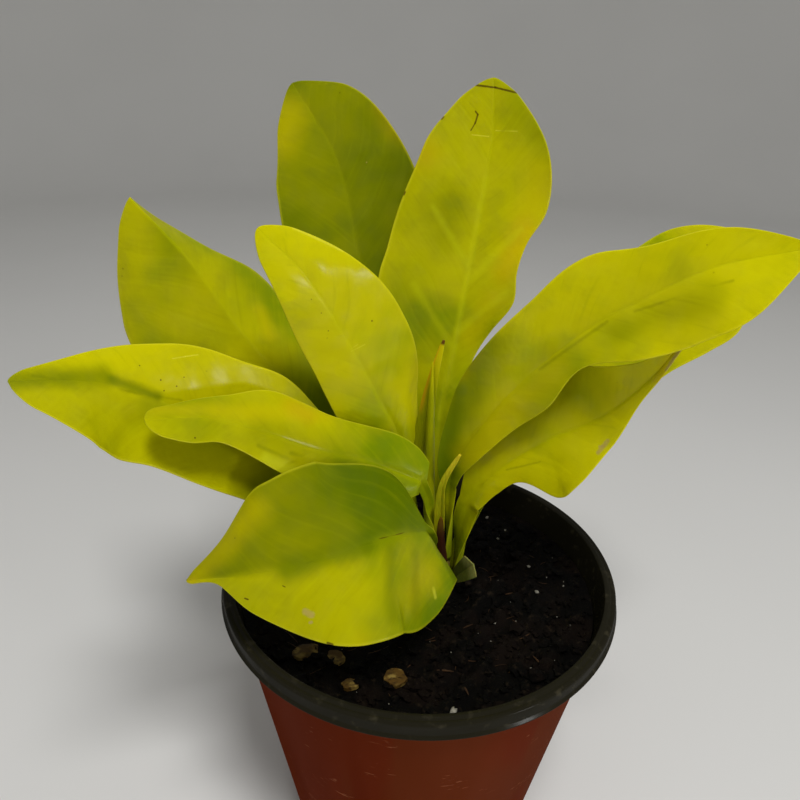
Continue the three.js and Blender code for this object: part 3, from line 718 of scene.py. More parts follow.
stem_profile = [(0.3 * STEM_RADIUS, STEM_ROOT), (0.8 * STEM_RADIUS, STEM_ROOT + 12 * MM)]
scar_foot = STEM_ROOT + 30 * MM
while scar_foot < STEM_TOP - 1.6 * SCAR_STEP:
    stem_profile.append((STEM_RADIUS - SCAR_DEPTH, scar_foot))
    stem_profile.append((STEM_RADIUS - 0.2 * SCAR_DEPTH, scar_foot + 0.25 * SCAR_STEP))
    stem_profile.append((STEM_RADIUS - 0.5 * SCAR_DEPTH, scar_foot + 0.8 * SCAR_STEP))
    scar_foot += SCAR_STEP
stem_profile.append((STEM_RADIUS - 0.3 * MM, STEM_TOP - 1.5 * MM))
stem_profile.append((STEM_RADIUS - 1 * MM, STEM_TOP - 0.3 * MM))
stem_profile.append((0.5 * STEM_RADIUS, STEM_TOP))
stem = turned("stem_axis", stem_profile, STEM_SIDES, tuple(STEM_CENTRE))
smoothed(60)
stem_finish = Finish("corky_stem", {"Roughness": 0.7})
stem_tone = stem_finish.speckle(1, 4, stem_finish.stretched(STEM_GRAIN))
stem_finish.set("Base Color", stem_finish.mixed(stem_tone, *colours(STEM_TONES)))
stem_finish.raised(stem_tone, 0.6 * MM)
settled(stem, stem_finish, "stem", "stem")

# Leaves
# Leathery gold-green blades on short stalks that clasp the stem. Each is one grown piece with a sunk
# midrib, side veins with the blade raised softly between them, and a thin rippling margin whose paleness is
# partly a painted highlight.
STALK_RIB = 2.3
BLADE_EDGE = 0.5
BLADE_ROWS = 96
STALK_ROWS = 22
TIP_CROWDING = 1.25
RIB_AT_TIP = 0.3
RIB_SPREAD = 0.8
GROOVE = 0.18
GROOVE_SPREAD = 0.55
TIP_BLUNT = 0.04
LOBE_SHARE = 0.25
NARROWEST = 0.35
WAVE_FULL_WIDTH = 12
SHEATH_FLARE = 0.12
WING_START = 0.5
VEIN_STEP = 16
VEIN_LEAN = 1.15
VEIN_WANDER = 0.22
QUILT = 0.14
LOBE_ROUNDING = 0.07
LOBE_LEAST = 0.78
UNEVEN = 0.9
UNEVEN_SPAN = 26
VEIN_UNEVEN = 1.4
NEARLY_FLAT = 1e-3
NUDGE = 1e-4
MERGE_DISTANCE = 1e-7
HALF_COLUMNS = [
    0, 0.03, 0.06, 0.1, 0.15, 0.2, 0.27, 0.34, 0.42, 0.5, 0.58, 0.66, 0.74, 0.82, 0.89, 0.94, 0.975, 1,
]
COLUMNS = [-across for across in reversed(HALF_COLUMNS[1:])] + HALF_COLUMNS
SKIN_MARKS = ["across", "along", "vein", "rib", "under"]

# Each leaf has a midrib from the blade's base to its tip, a stalk from the stem to where that starts, the
# way its upper face looks along the midrib, and half widths at even stations from base to tip.
# Left and right are as seen on the upper face with the tip pointing away. Sizes are in millimetres.
# fold tilts a half up from the midrib and curl bends it further towards its margin, in degrees.
# blunt is the share of the length over which the tip rounds off, and lobe sets a margin back at the base.
# wave gives a margin's ripple: its height, how many there are along the blade, and where they start.
# rib is half the width of the stalk, and wing_start is how far up the stalk it begins to widen to the
# blade's base. quilt raises the blade between its side veins. gold is how yellow the blade is, against
# green, and the last setting is how far painted shade darkens the blade, for both halves or for each.
LEAVES = {
    "leaf_a": {
        "stalk": [(1.7, 15.2, 117.5), (-7, 27, 160)],
        "midrib": [(-13, 33.5, 186), (-17, 38, 202), (-27, 50, 239), (-36, 62, 271), (-53, 72, 296)],
        "facing": [(0.2, -1, 0.4), (0.1, -1, 0.4), (0, -1, 0.4)],
        "left": [2.5, 8, 17, 24, 26, 26, 24, 17, 6],
        "right": [2.5, 11, 21, 28, 29, 28, 24, 19, 8],
        "fold": 8,
        "curl": -10,
        "blunt": 0.1,
        "wave": {"left": (0.8, 1.5, 0.5), "right": (1.2, 1.5, 0.2)},
        "gold": 0.2,
        "deep": 0.85,
    },
    "leaf_b": {
        "stalk": [(6, 13.8, 126.3)],
        "midrib": [
            (6.5, 21, 174.5), (7, 24, 188), (10.5, 31, 208), (15.5, 40, 233),
            (20, 50, 264), (22, 55, 284), (21, 57, 300),
        ],
        "facing": [(0, -1, 0.35), (0, -1, 0.3)],
        "rib": 2,
        "left": [9, 14, 19, 25, 31, 33, 32, 31, 29, 26, 23, 17, 6],
        "right": [2.5, 5, 7, 9, 13, 18, 17, 19, 24, 24, 20, 12, 4],
        "fold": 6,
        "blunt": 0.05,
        "wave": {"left": (1.5, 2, 0.5), "right": (2.5, 2.5, 0.1)},
        "gold": 0.6,
        "deep": 0.28,
    },
    "leaf_c": {
        "stalk": [(1.2, 9.5, 126.4), (-5, 8, 160)],
        "midrib": [
            (-7, 7.5, 172), (-10, 7, 184), (-15.5, 5, 196), (-25, 1, 217),
            (-41, -4, 245), (-53.5, -5, 258),
        ],
        "facing": [(0.2, -1, 0.4), (0.2, -1, 0.5)],
        "rib": 2,
        "left": [2.5, 12, 16, 16, 15, 14, 12, 9, 4],
        "right": [2.5, 9, 16, 20, 21, 20, 16, 10, 4],
        "curl": -10,
        "blunt": 0.08,
        "wave": {"left": (0.8, 1.5, 0), "right": (1, 1.5, 0.4)},
        "gold": 0.7,
        "deep": 0,
    },
    "leaf_d": {
        "stalk": [(-1.5, 10.5, 117.5), (-24, 14, 157)],
        "midrib": [(-33, 15.5, 171), (-50, 19, 194), (-69, 25, 215), (-86, 30, 238), (-106, 34, 259)],
        "facing": [(-0.1, -1, 0.4), (-0.3, -1, 0.5)],
        "left": [2.5, 10, 24, 36, 40, 40, 36, 25, 5],
        "right": [2.5, 10, 18, 22, 24, 22, 13, 8, 1],
        "fold": {"left": 0, "right": [-10, -30, -45, -60, -95]},
        "curl": -10,
        "wave": {"left": (1.5, 1.8, 0.3), "right": (0, 1, 0)},
        "gold": 0.2,
        "deep": 0.2,
    },
    "leaf_e": {
        "stalk": [(0, 4.5, 117.5), (-14, 1, 145)],
        "midrib": [
            (-23.5, 0, 158), (-30, -1, 165), (-60, -10, 188), (-85, -22, 208),
            (-98, -32, 218), (-115, -46, 224),
        ],
        "facing": [(0, -0.8, 0.7), (0, -0.7, 0.7)],
        "left": [2.5, 10, 18, 20, 21, 21, 22, 18, 6],
        "right": [2.5, 13, 20, 24, 22, 20, 14, 7, 2],
        "fold": 10,
        "wave": {"left": (1.5, 2, 0.2), "right": (1.5, 1.5, 0.6)},
        "gold": {"left": 0.65, "right": 0.85},
        "deep": {"left": 0.24, "right": 0},
    },
    "leaf_f": {
        "stalk": [(3.8, 4.8, 126.6), (3, -3, 158)],
        "midrib": [
            (-1, -8, 172), (-20, -12, 182), (-36, -16, 188), (-56, -24, 200),
            (-68, -30, 206), (-82, -40, 210),
        ],
        "facing": [(0, -0.8, 0.6), (0, -0.6, 0.8)],
        "rib": 1.9,
        "left": [6, 14, 16, 12, 11, 9, 7, 8, 4],
        "right": [9, 12, 12, 13, 14, 14, 9, 6, 4],
        "curl": -10,
        "blunt": 0.05,
        "lobe": {"left": 1.2, "right": 1.2},
        "wave": {"left": (0.8, 2, 0), "right": (0.8, 1.5, 0.3)},
        "gold": 0.55,
        "deep": 0.25,
    },
    "leaf_g": {
        "stalk": [(4.2, 1.7, 117.5), (6, -8, 138), (3.5, -16, 152)],
        "midrib": [
            (1.5, -20, 159), (-12.5, -34, 166.5), (-26, -43, 166.5), (-49, -48, 163), (-74.5, -45, 156),
        ],
        "facing": [(0, -0.8, 0.6), (0, -0.75, 0.65)],
        "left": [23, 31, 30, 29, 26, 20, 12, 2, 1],
        "right": [3, 19, 26, 30, 30, 28, 24, 11, 1],
        "curl": -8,
        "blunt": 0.03,
        "lobe": {"left": 13, "right": 0},
        "wave": {"left": (1.8, 2.5, 0.1), "right": (1.2, 1.5, 0.4)},
        "gold": {"left": 0.5, "right": 0.25},
        "deep": {"left": 0.32, "right": 0.8},
        "quilt": 0.3,
    },
    "leaf_h": {
        "stalk": [(10.7, 8, 126.4)],
        "midrib": [
            (10, 1.5, 164.5), (11, 0, 173), (18, -4, 190), (29, -9, 210),
            (49, -16, 234), (60, -20, 243), (76, -26, 255), (100, -32, 263),
        ],
        "facing": [(-0.3, -1, 0.4), (-0.2, -0.8, 0.6)],
        "rib": 1.7,
        "left": [3, 9.5, 15, 16.5, 17, 19, 13, 9, 1],
        "right": [2.5, 6, 9, 12, 9, 16, 19, 17, 1],
        "fold": 10,
        "wave": {"left": (1.8, 2, 0.3), "right": (1.5, 2, 0.1)},
        "gold": {"left": 0.75, "right": 0.7},
        "deep": {"left": 0.04, "right": 0},
    },
    "leaf_i": {
        "stalk": [(13.8, 8.3, 117.5), (15.6, 2, 146)],
        "midrib": [
            (17.5, -1, 158.5), (24, -4, 172), (40, -10, 190), (55, -18, 204),
            (65, -26, 221), (71, -30, 235),
        ],
        "facing": [(-0.2, -0.8, 0.6), (-0.2, -0.8, 0.6)],
        "rib": 2.6,
        "wing_start": -0.3,
        "left": [4.4, 9, 19, 26, 28, 22, 13, 5, 1],
        "right": [4.2, 6, 8, 19, 18, 10, 4, 2, 1],
        "fold": 10,
        "wave": {"left": (1, 1.5, 0), "right": (1.8, 1.5, 0.5)},
        "gold": 0.78,
        "deep": 0,
    },
    "leaf_j": {
        "stalk": [(11.7, 13.8, 117.5), (30, 26, 155)],
        "midrib": [(36.5, 30, 166.5), (52, 37, 188), (79, 44, 216), (106, 47, 235), (136, 46, 245)],
        "facing": [(-0.2, -0.8, 0.6), (-0.1, -0.7, 0.7)],
        "left": [2.5, 10, 16, 19, 20, 20, 20, 13, 1],
        "right": [2.5, 10, 18, 25, 27, 29, 28, 18, 1],
        "fold": 8,
        "wave": {"left": (1.5, 2, 0), "right": (1.5, 2, 0.3)},
        "gold": 0.6,
        "deep": 0.12,
    },
}


def smooth_value(values, t):
    """A value that runs smoothly through numbers set at even stations, for t from 0 to 1."""
    if not isinstance(values, (list, tuple)):
        return values
    last = len(values) - 1
    x = min(max(t, 0), 1) * last
    i = min(int(x), last - 1)
    f = x - i
    b = values[i]
    c = values[i + 1]
    a = values[i - 1] if i > 0 else 2 * b - c
    d = values[i + 2] if i < last - 1 else 2 * c - b
    return b + 0.5 * f * (c - a + f * (2 * a - 5 * b + 4 * c - d + f * (3 * (b - c) + d - a)))


def smooth_direction(directions, t):
    """A direction that turns smoothly through those set at even stations."""
    last = len(directions) - 1
    x = min(max(t, 0), 1) * last
    i = min(int(x), last - 1)
    share = eased(x - i, 0, 1)
    first = Vector(directions[i]).normalized()
    return first.lerp(Vector(directions[i + 1]).normalized(), share).normalized()


class SmoothCurve:
    """A curve through given points, read by the share of its length, as the solids' curves are."""

    STEPS = 400

    def __init__(self, points):
        points = [Vector(point) for point in points]
        self.points = [2 * points[0] - points[1], *points, 2 * points[-1] - points[-2]]
        self.spans = len(points) - 1
        places = [self.at(step / self.STEPS) for step in range(self.STEPS + 1)]
        self.lengths = [0]
        for last, place in zip(places, places[1:]):
            self.lengths.append(self.lengths[-1] + (place - last).length)
        self.length = self.lengths[-1]

    def at(self, u):
        x = min(max(u, 0), 1) * self.spans
        i = min(int(x), self.spans - 1)
        f = x - i
        p0, p1, p2, p3 = self.points[i : i + 4]
        d0 = (p1 - p0).length ** 0.5
        d1 = (p2 - p1).length ** 0.5
        d2 = (p3 - p2).length ** 0.5
        start = ((p1 - p0) / d0 - (p2 - p0) / (d0 + d1) + (p2 - p1) / d1) * d1
        end = ((p2 - p1) / d1 - (p3 - p1) / (d1 + d2) + (p3 - p2) / d2) * d1
        bend = 2 * (p1 - p2) + start + end
        return p1 + f * (start + f * (3 * (p2 - p1) - 2 * start - end + f * bend))

    def axes(self, t, facing):
        """The place at a share of the length, with the ways along, out of the upper face and right."""
        wanted = t * self.length
        i = min(max(bisect.bisect_left(self.lengths, wanted), 1), self.STEPS)
        span = self.lengths[i] - self.lengths[i - 1]
        u = (i - 1 + (wanted - self.lengths[i - 1]) / span) / self.STEPS
        along = (self.at(min(u + NUDGE, 1)) - self.at(max(u - NUDGE, 0))).normalized()
        up = (facing - along * facing.dot(along)).normalized()
        return self.at(u), along, up, along.cross(up)


def side_value(setting, side, t):
    """The value at t of a setting that is one for both halves or has its own for each."""
    return smooth_value(setting[side] if isinstance(setting, dict) else setting, t)


def blade_width(leaf, side, t):
    width = smooth_value(leaf[side], t)
    blunt = leaf.get("blunt", TIP_BLUNT)
    from_blunt = (t - 1 + blunt) / blunt
    rounding = math.sqrt(max(0, 1 - from_blunt ** 2)) if from_blunt > 0 else 1
    if leaf.get("lobe", {}).get(side, 0) and t < LOBE_ROUNDING:
        rounding = 1 - (1 - LOBE_LEAST) * (1 - t / LOBE_ROUNDING) ** 2
    return max(width * rounding, NARROWEST)


def side_of(across):
    return "left" if across < 0 else "right"


def blade_point(leaf, axes, from_base, t, across):
    """A point of the blade's upper face, its distance from the midrib, and its place among the veins."""
    at, along, up, right = axes
    side = side_of(across)
    share = abs(across)
    width = blade_width(leaf, side, t)
    fold = math.radians(side_value(leaf.get("fold", 0), side, t))
    curl = math.radians(side_value(leaf.get("curl", 0), side, t))
    if abs(curl) < NEARLY_FLAT:
        reach = share * math.cos(fold)
        rise = share * math.sin(fold)
    else:
        reach = (math.sin(fold + curl * share) - math.sin(fold)) / curl
        rise = (math.cos(fold) - math.cos(fold + curl * share)) / curl
    height, count, start = leaf.get("wave", {}).get(side, (0, 0, 0))
    breadth = min(1, width / WAVE_FULL_WIDTH)
    ripple = height * breadth * share ** 2 * math.sin(2 * math.pi * (count * t + start))
    back = leaf.get("lobe", {}).get(side, 0) * share * max(0, 1 - t / LOBE_SHARE) ** 2
    distance = share * width
    outwards = right * (-1 if side == "left" else 1)
    plain = at + outwards * reach * width + up * (rise * width + ripple) - along * back
    vein = (from_base - VEIN_LEAN * distance) / VEIN_STEP + (0.5 if side == "left" else 0)
    vein += VEIN_WANDER * noise.noise(plain / UNEVEN_SPAN * VEIN_UNEVEN)
    between_veins = 0.5 - 0.5 * math.cos(2 * math.pi * vein)
    quilt = leaf.get("quilt", QUILT) * between_veins * (1 + noise.noise(plain / UNEVEN_SPAN))
    uneven = UNEVEN * noise.noise(plain / UNEVEN_SPAN + 3 * at.normalized())
    bulge = 4 * share * (1 - share) * quilt + min(1, 2.5 * share) * uneven
    return plain + up * breadth * bulge, up, outwards, distance, vein


def ring_of(columns, rib, edge):
    """A closed ring of points round one section: over the upper face, round a margin, and back below."""
    upper = []
    lower = []
    for point, up, outwards, distance, vein, across, along in columns:
        groove = GROOVE * rib * math.exp(-((distance / (GROOVE_SPREAD * rib)) ** 2))
        thickness = edge + rib * math.sqrt(max(0, 1 - (distance / rib) ** 2))
        marks = (across, along, vein, math.exp(-((distance / (RIB_SPREAD * rib)) ** 2)))
        upper.append((point - up * groove, (*marks, 0)))
        lower.append((point - up * thickness, (*marks, 1)))
    left = columns[0]
    right = columns[-1]
    left_rim = (left[0] - left[1] * edge / 2 + left[2] * edge / 3, (*upper[0][1][:4], 0.5))
    right_rim = (right[0] - right[1] * edge / 2 + right[2] * edge / 3, (*upper[-1][1][:4], 0.5))
    return [*upper, right_rim, *reversed(lower), left_rim]


def leaf_rings(leaf, blade_rows, stalk_rows, edge):
    """Rings up the stalk, where there is one, and along the blade to its tip."""
    rings = []
    base_rib = leaf.get("rib", STALK_RIB)
    if "stalk" in leaf:
        start = Vector(leaf["stalk"][0])
        to_axis = Vector((STEM_CENTRE.x / MM - start.x, STEM_CENTRE.y / MM - start.y, 0))
        stalk = SmoothCurve([*leaf["stalk"], leaf["midrib"][0]])
        wing_start = leaf.get("wing_start", WING_START)
        for row in range(stalk_rows):
            t = row / stalk_rows
            rib = base_rib * (1 + SHEATH_FLARE * (1 - t) ** 2)
            at, along, up, right = stalk.axes(t, smooth_direction([to_axis, leaf["facing"][0]], t))
            columns = []
            for across in COLUMNS:
                wing = 0
                if "lobe" not in leaf:
                    wing = max(0, leaf[side_of(across)][0] - base_rib) * eased(t, wing_start, 1)
                outwards = right * (-1 if across < 0 else 1)
                reach = across * (rib + wing)
                columns.append((at + right * reach, up, outwards, abs(reach), 0.5, across, t - 1))
            rings.append(ring_of(columns, rib, edge))
    midrib = SmoothCurve(leaf["midrib"])
    for row in range(blade_rows + 1):
        t = 1 - (1 - row / blade_rows) ** TIP_CROWDING
        rib = RIB_AT_TIP + (base_rib - RIB_AT_TIP) * (1 - t)
        axes = midrib.axes(t, smooth_direction(leaf["facing"], t))
        from_base = t * midrib.length
        columns = [(*blade_point(leaf, axes, from_base, t, across), across, t) for across in COLUMNS]
        rings.append(ring_of(columns, rib, edge))
    return rings


def station(leaf, midrib, t, across):
    """A place on the blade's upper face: t along the midrib, and across from -1, left, to 1, right."""
    axes = midrib.axes(t, smooth_direction(leaf["facing"], t))
    return blade_point(leaf, axes, t * midrib.length, t, across)[0] * MM


def wrapped_skin(name, rings):
    """A flat grid wrapped round the rings, merged where its sides meet, and filled at both ends."""
    round_count = len(rings[0])
    deselect_all()
    bpy.ops.mesh.primitive_grid_add(x_subdivisions=round_count, y_subdivisions=len(rings) - 1, size=2)
    skin = bpy.context.object
    skin.name = name
    values = {mark: [] for mark in SKIN_MARKS}
    for vertex in skin.data.vertices:
        column = round((vertex.co.x + 1) / 2 * round_count) % round_count
        row = round((vertex.co.y + 1) / 2 * (len(rings) - 1))
        point, marked = rings[row][column]
        vertex.co = point * MM
        for mark, value in zip(SKIN_MARKS, marked):
            values[mark].append(value)
    for mark in SKIN_MARKS:
        skin.data.attributes.new(mark, "FLOAT", "POINT").data.foreach_set("value", values[mark])
    bpy.ops.object.mode_set(mode="EDIT")
    bpy.ops.mesh.select_all(action="SELECT")
    bpy.ops.mesh.remove_doubles(threshold=MERGE_DISTANCE)
    bpy.ops.mesh.fill_holes(sides=0)
    bpy.ops.mesh.select_all(action="SELECT")
    bpy.ops.mesh.normals_make_consistent(inside=False)
    bpy.ops.object.mode_set(mode="OBJECT")
    bpy.ops.object.shade_smooth()
    return skin


LIVING_LEAF = {
    "Subsurface Weight": 0.45,
    "Subsurface Radius": (0.95, 1, 0.15),
    "Subsurface Scale": 1.4 * MM,
    "Specular IOR Level": 0.14,
    "Specular Tint": colour(240, 240, 100),
    "Coat Roughness": 0.22,
    "Coat Tint": colour(250, 250, 150),
}
LEAF_TONES = {
    "gold": colour(185, 179, 2),
    "green": colour(104, 129, 2),
    "fleck": colour(162, 158, 2),
    "streak": colour(194, 192, 6),
    "vein": colour(186, 188, 8),
    "margin": colour(206, 198, 40),
    "speck": colour(70, 62, 10),
    "underside": colour(150, 158, 30),
}

# What marks the blades: brown cracks, painted shade along creases, pale scratches and painted glints, dry
# scars, places of a purer gold, some of them painted light, or of a paler green, stout veins that show,
# places of painted shade and of deeper painted shade, and places tinged with orange. share is how strongly
# each kind shows, and core is how much of its width is full.
MARK_KINDS = {
    "crack": {"tone": colour(70, 48, 6), "share": 0.85, "core": 0.35},
    "crease_shade": {"tone": colour(96, 102, 2), "share": 0.35, "core": 0},
    "scratch_and_glint": {"tone": colour(206, 202, 60), "share": 0.5, "core": 0.1},
    "scar": {"tone": colour(164, 146, 84), "share": 0.75, "core": 0.3},
    "gold": {"tone": colour(184, 170, 2), "share": 0.5, "core": 0},
    "pale": {"tone": colour(184, 188, 30), "share": 0.5, "core": 0},
    "vein": {"tone": colour(184, 186, 16), "share": 0.3, "core": 0},
    "deep": {"tone": colour(76, 92, 1), "share": 0.3, "core": 0},
    "shade": {"tone": colour(74, 96, 0), "share": 0.6, "core": 0},
    "tinge": {"tone": colour(188, 148, 4), "share": 0.28, "core": 0},
}
# Each leaf's marks: the kind, the width in millimetres, and where the mark starts and ends, by the share
# of the way along the midrib and across, from -1 at the left margin to 1 at the right one. The marks that
# darken a blade in soft patches and along its creases are painted shade.
MARKS = {
    "leaf_a": [
        ("scar", 0.4, (0.7, 0.4), (0.7, 0.4)),
        ("gold", 12, (0.93, -0.7), (0.88, -0.9)),
        ("deep", 14, (0.1, 0.3), (0.5, 0.3)),
    ],
    "leaf_b": [
        ("crack", 0.5, (0.983, -1), (0.975, 0.1)),
        ("crack", 0.5, (0.975, 0.1), (0.958, 1)),
        ("crack", 0.4, (0.917, -0.4), (0.908, -0.33)),
        ("crack", 0.45, (0.908, -0.33), (0.883, -0.34)),
        ("crack", 0.3, (0.883, -0.34), (0.862, -0.38)),
        ("scratch_and_glint", 0.3, (0.85, -0.34), (0.85, -0.06)),
        ("scratch_and_glint", 0.3, (0.867, 0.06), (0.867, 0.5)),
        ("tinge", 11, (0.775, -0.95), (0.775, -0.95)),
        ("gold", 12, (0.55, 0.9), (0.75, 0.9)),
        ("tinge", 8, (0.5, 0.75), (0.62, 0.8)),
        ("deep", 12, (0.56, -0.4), (0.66, -0.35)),
        ("gold", 8, (0.3, 0.5), (0.42, 0.6)),
        ("vein", 2, (0.05, 0), (0.74, 0)),
        ("vein", 2.4, (0.27, -0.05), (0.41, -0.6)),
        ("vein", 2.4, (0.31, 0.05), (0.44, 0.8)),
        ("vein", 2.4, (0.46, 0.05), (0.62, 0.75)),
        ("vein", 2.2, (0.5, -0.05), (0.64, -0.6)),
        ("crack", 0.7, (0.9, -1), (0.895, -1)),
        ("crack", 0.6, (0.667, -1), (0.66, -1)),
    ],
    "leaf_c": [
        ("scratch_and_glint", 0.3, (0.492, -0.06), (0.485, 0.2)),
        ("scratch_and_glint", 0.25, (0.5, -0.04), (0.5, 0.1)),
        ("crack", 0.35, (0.6, -0.27), (0.6, -0.27)),
        ("crack", 0.3, (0.667, -0.2), (0.667, -0.2)),
        ("crack", 0.3, (0.725, -0.23), (0.725, -0.23)),
        # A painted highlight along the upper right margin.
        ("scratch_and_glint", 0.7, (0.92, 1), (0.78, 1)),
    ],
    "leaf_d": [
        ("deep", 12, (0.35, -0.45), (0.5, -0.5)),
        ("shade", 12, (0, 0.5), (0.12, 0.5)),
        ("gold", 5, (0.42, 0.35), (0.5, 0.5)),
        ("crease_shade", 1.5, (0.25, -0.1), (0.3, -0.9)),
    ],
    "leaf_e": [
        ("scratch_and_glint", 0.3, (0.658, 0.73), (0.633, 0.8)),
        ("scratch_and_glint", 0.3, (0.633, 0.8), (0.608, 0.87)),
        ("crack", 0.4, (0.667, 0.33), (0.667, 0.33)),
        ("crack", 0.35, (0.65, 0.17), (0.65, 0.17)),
        ("crack", 0.35, (0.625, 0.3), (0.625, 0.3)),
        ("crack", 0.3, (0.617, 0.47), (0.617, 0.47)),
        ("crack", 0.3, (0.725, 0.53), (0.725, 0.53)),
        ("shade", 3, (0.66, 0.05), (0.78, 0.13)),
        ("shade", 6, (0.8, 0.18), (1, 0.4)),
        ("crease_shade", 0.8, (0.6, 0.12), (0.95, 0.35)),
    ],
    "leaf_f": [
        ("crack", 0.45, (0.858, -0.83), (0.858, -0.83)),
        ("deep", 10, (0.32, -0.1), (0.62, -0.1)),
        # Painted light: the far margin caught by the lamp, as a gold strip.
        ("gold", 5, (0.4, 0.95), (0.95, 0.8)),
        ("tinge", 6, (0.47, 0.75), (0.53, 0.8)),
        ("crease_shade", 1.2, (0.12, -0.1), (0.5, -0.35)),
        ("crease_shade", 1.2, (0.3, -0.62), (0.62, -0.55)),
        ("pale", 3.5, (0.34, -0.88), (0.58, -0.85)),
    ],
    "leaf_g": [
        ("scar", 1.4, (0.583, -0.63), (0.565, -0.66)),
        ("scar", 0.7, (0.575, -0.77), (0.57, -0.76)),
        ("crack", 0.35, (0.775, -0.7), (0.765, -0.69)),
        ("crack", 0.25, (0.642, -0.27), (0.635, -0.29)),
        # A painted highlight near the base.
        ("scratch_and_glint", 1.3, (0.06, -0.7), (0.06, -0.8)),
        ("crack", 0.25, (0.275, 0.01), (0.125, 0.03)),
        ("crease_shade", 0.5, (0.3, 0), (0.55, 0)),
        ("crack", 0.6, (0.533, -0.99), (0.52, -1)),
        ("tinge", 2, (0.97, 0), (0.99, 0)),
        # Painted light where the right half's painted shade fades towards the tip, and a lift of the left
        # half's painted shade near its base.
        ("gold", 9, (0.72, 0.75), (0.95, 0.4)),
        ("gold", 12, (0.06, -0.5), (0.16, -0.6)),
        ("shade", 6, (0.32, -0.02), (0.62, -0.06)),
        ("crease_shade", 4, (0.24, -0.15), (0.33, -0.8)),
        ("crease_shade", 4, (0.1, -0.25), (0.15, -0.8)),
    ],
    "leaf_h": [
        ("shade", 12, (0, -0.9), (0.36, -1)),
        ("shade", 7, (0.02, -0.75), (0.24, -0.95)),
        # Painted light on the right half.
        ("gold", 11, (0.12, 0.5), (0.45, 0.45)),
        ("deep", 8, (0.62, 0.35), (0.8, 0.45)),
        ("crease_shade", 1, (0.42, 0.08), (0.6, 0.08)),
        ("crease_shade", 0.8, (0.66, 0.12), (0.85, 0.3)),
    ],
    "leaf_i": [
        ("scar", 1.1, (0.583, 0.8), (0.617, 0.76)),
        ("scar", 0.7, (0.59, 0.7), (0.6, 0.78)),
        ("crease_shade", 0.6, (0.225, 0.23), (0.36, 0.3)),
        ("tinge", 3, (1, 0.5), (0.86, 0.95)),
        ("scar", 0.9, (0.98, 0.8), (0.9, 1)),
    ],
}


def either_half(setting, right_half):
    """A leaf's number for both halves, or one that turns from the left half's to the right half's."""
    if isinstance(setting, dict):
        return right_half * (setting["right"] - setting["left"]) + setting["left"]
    return setting


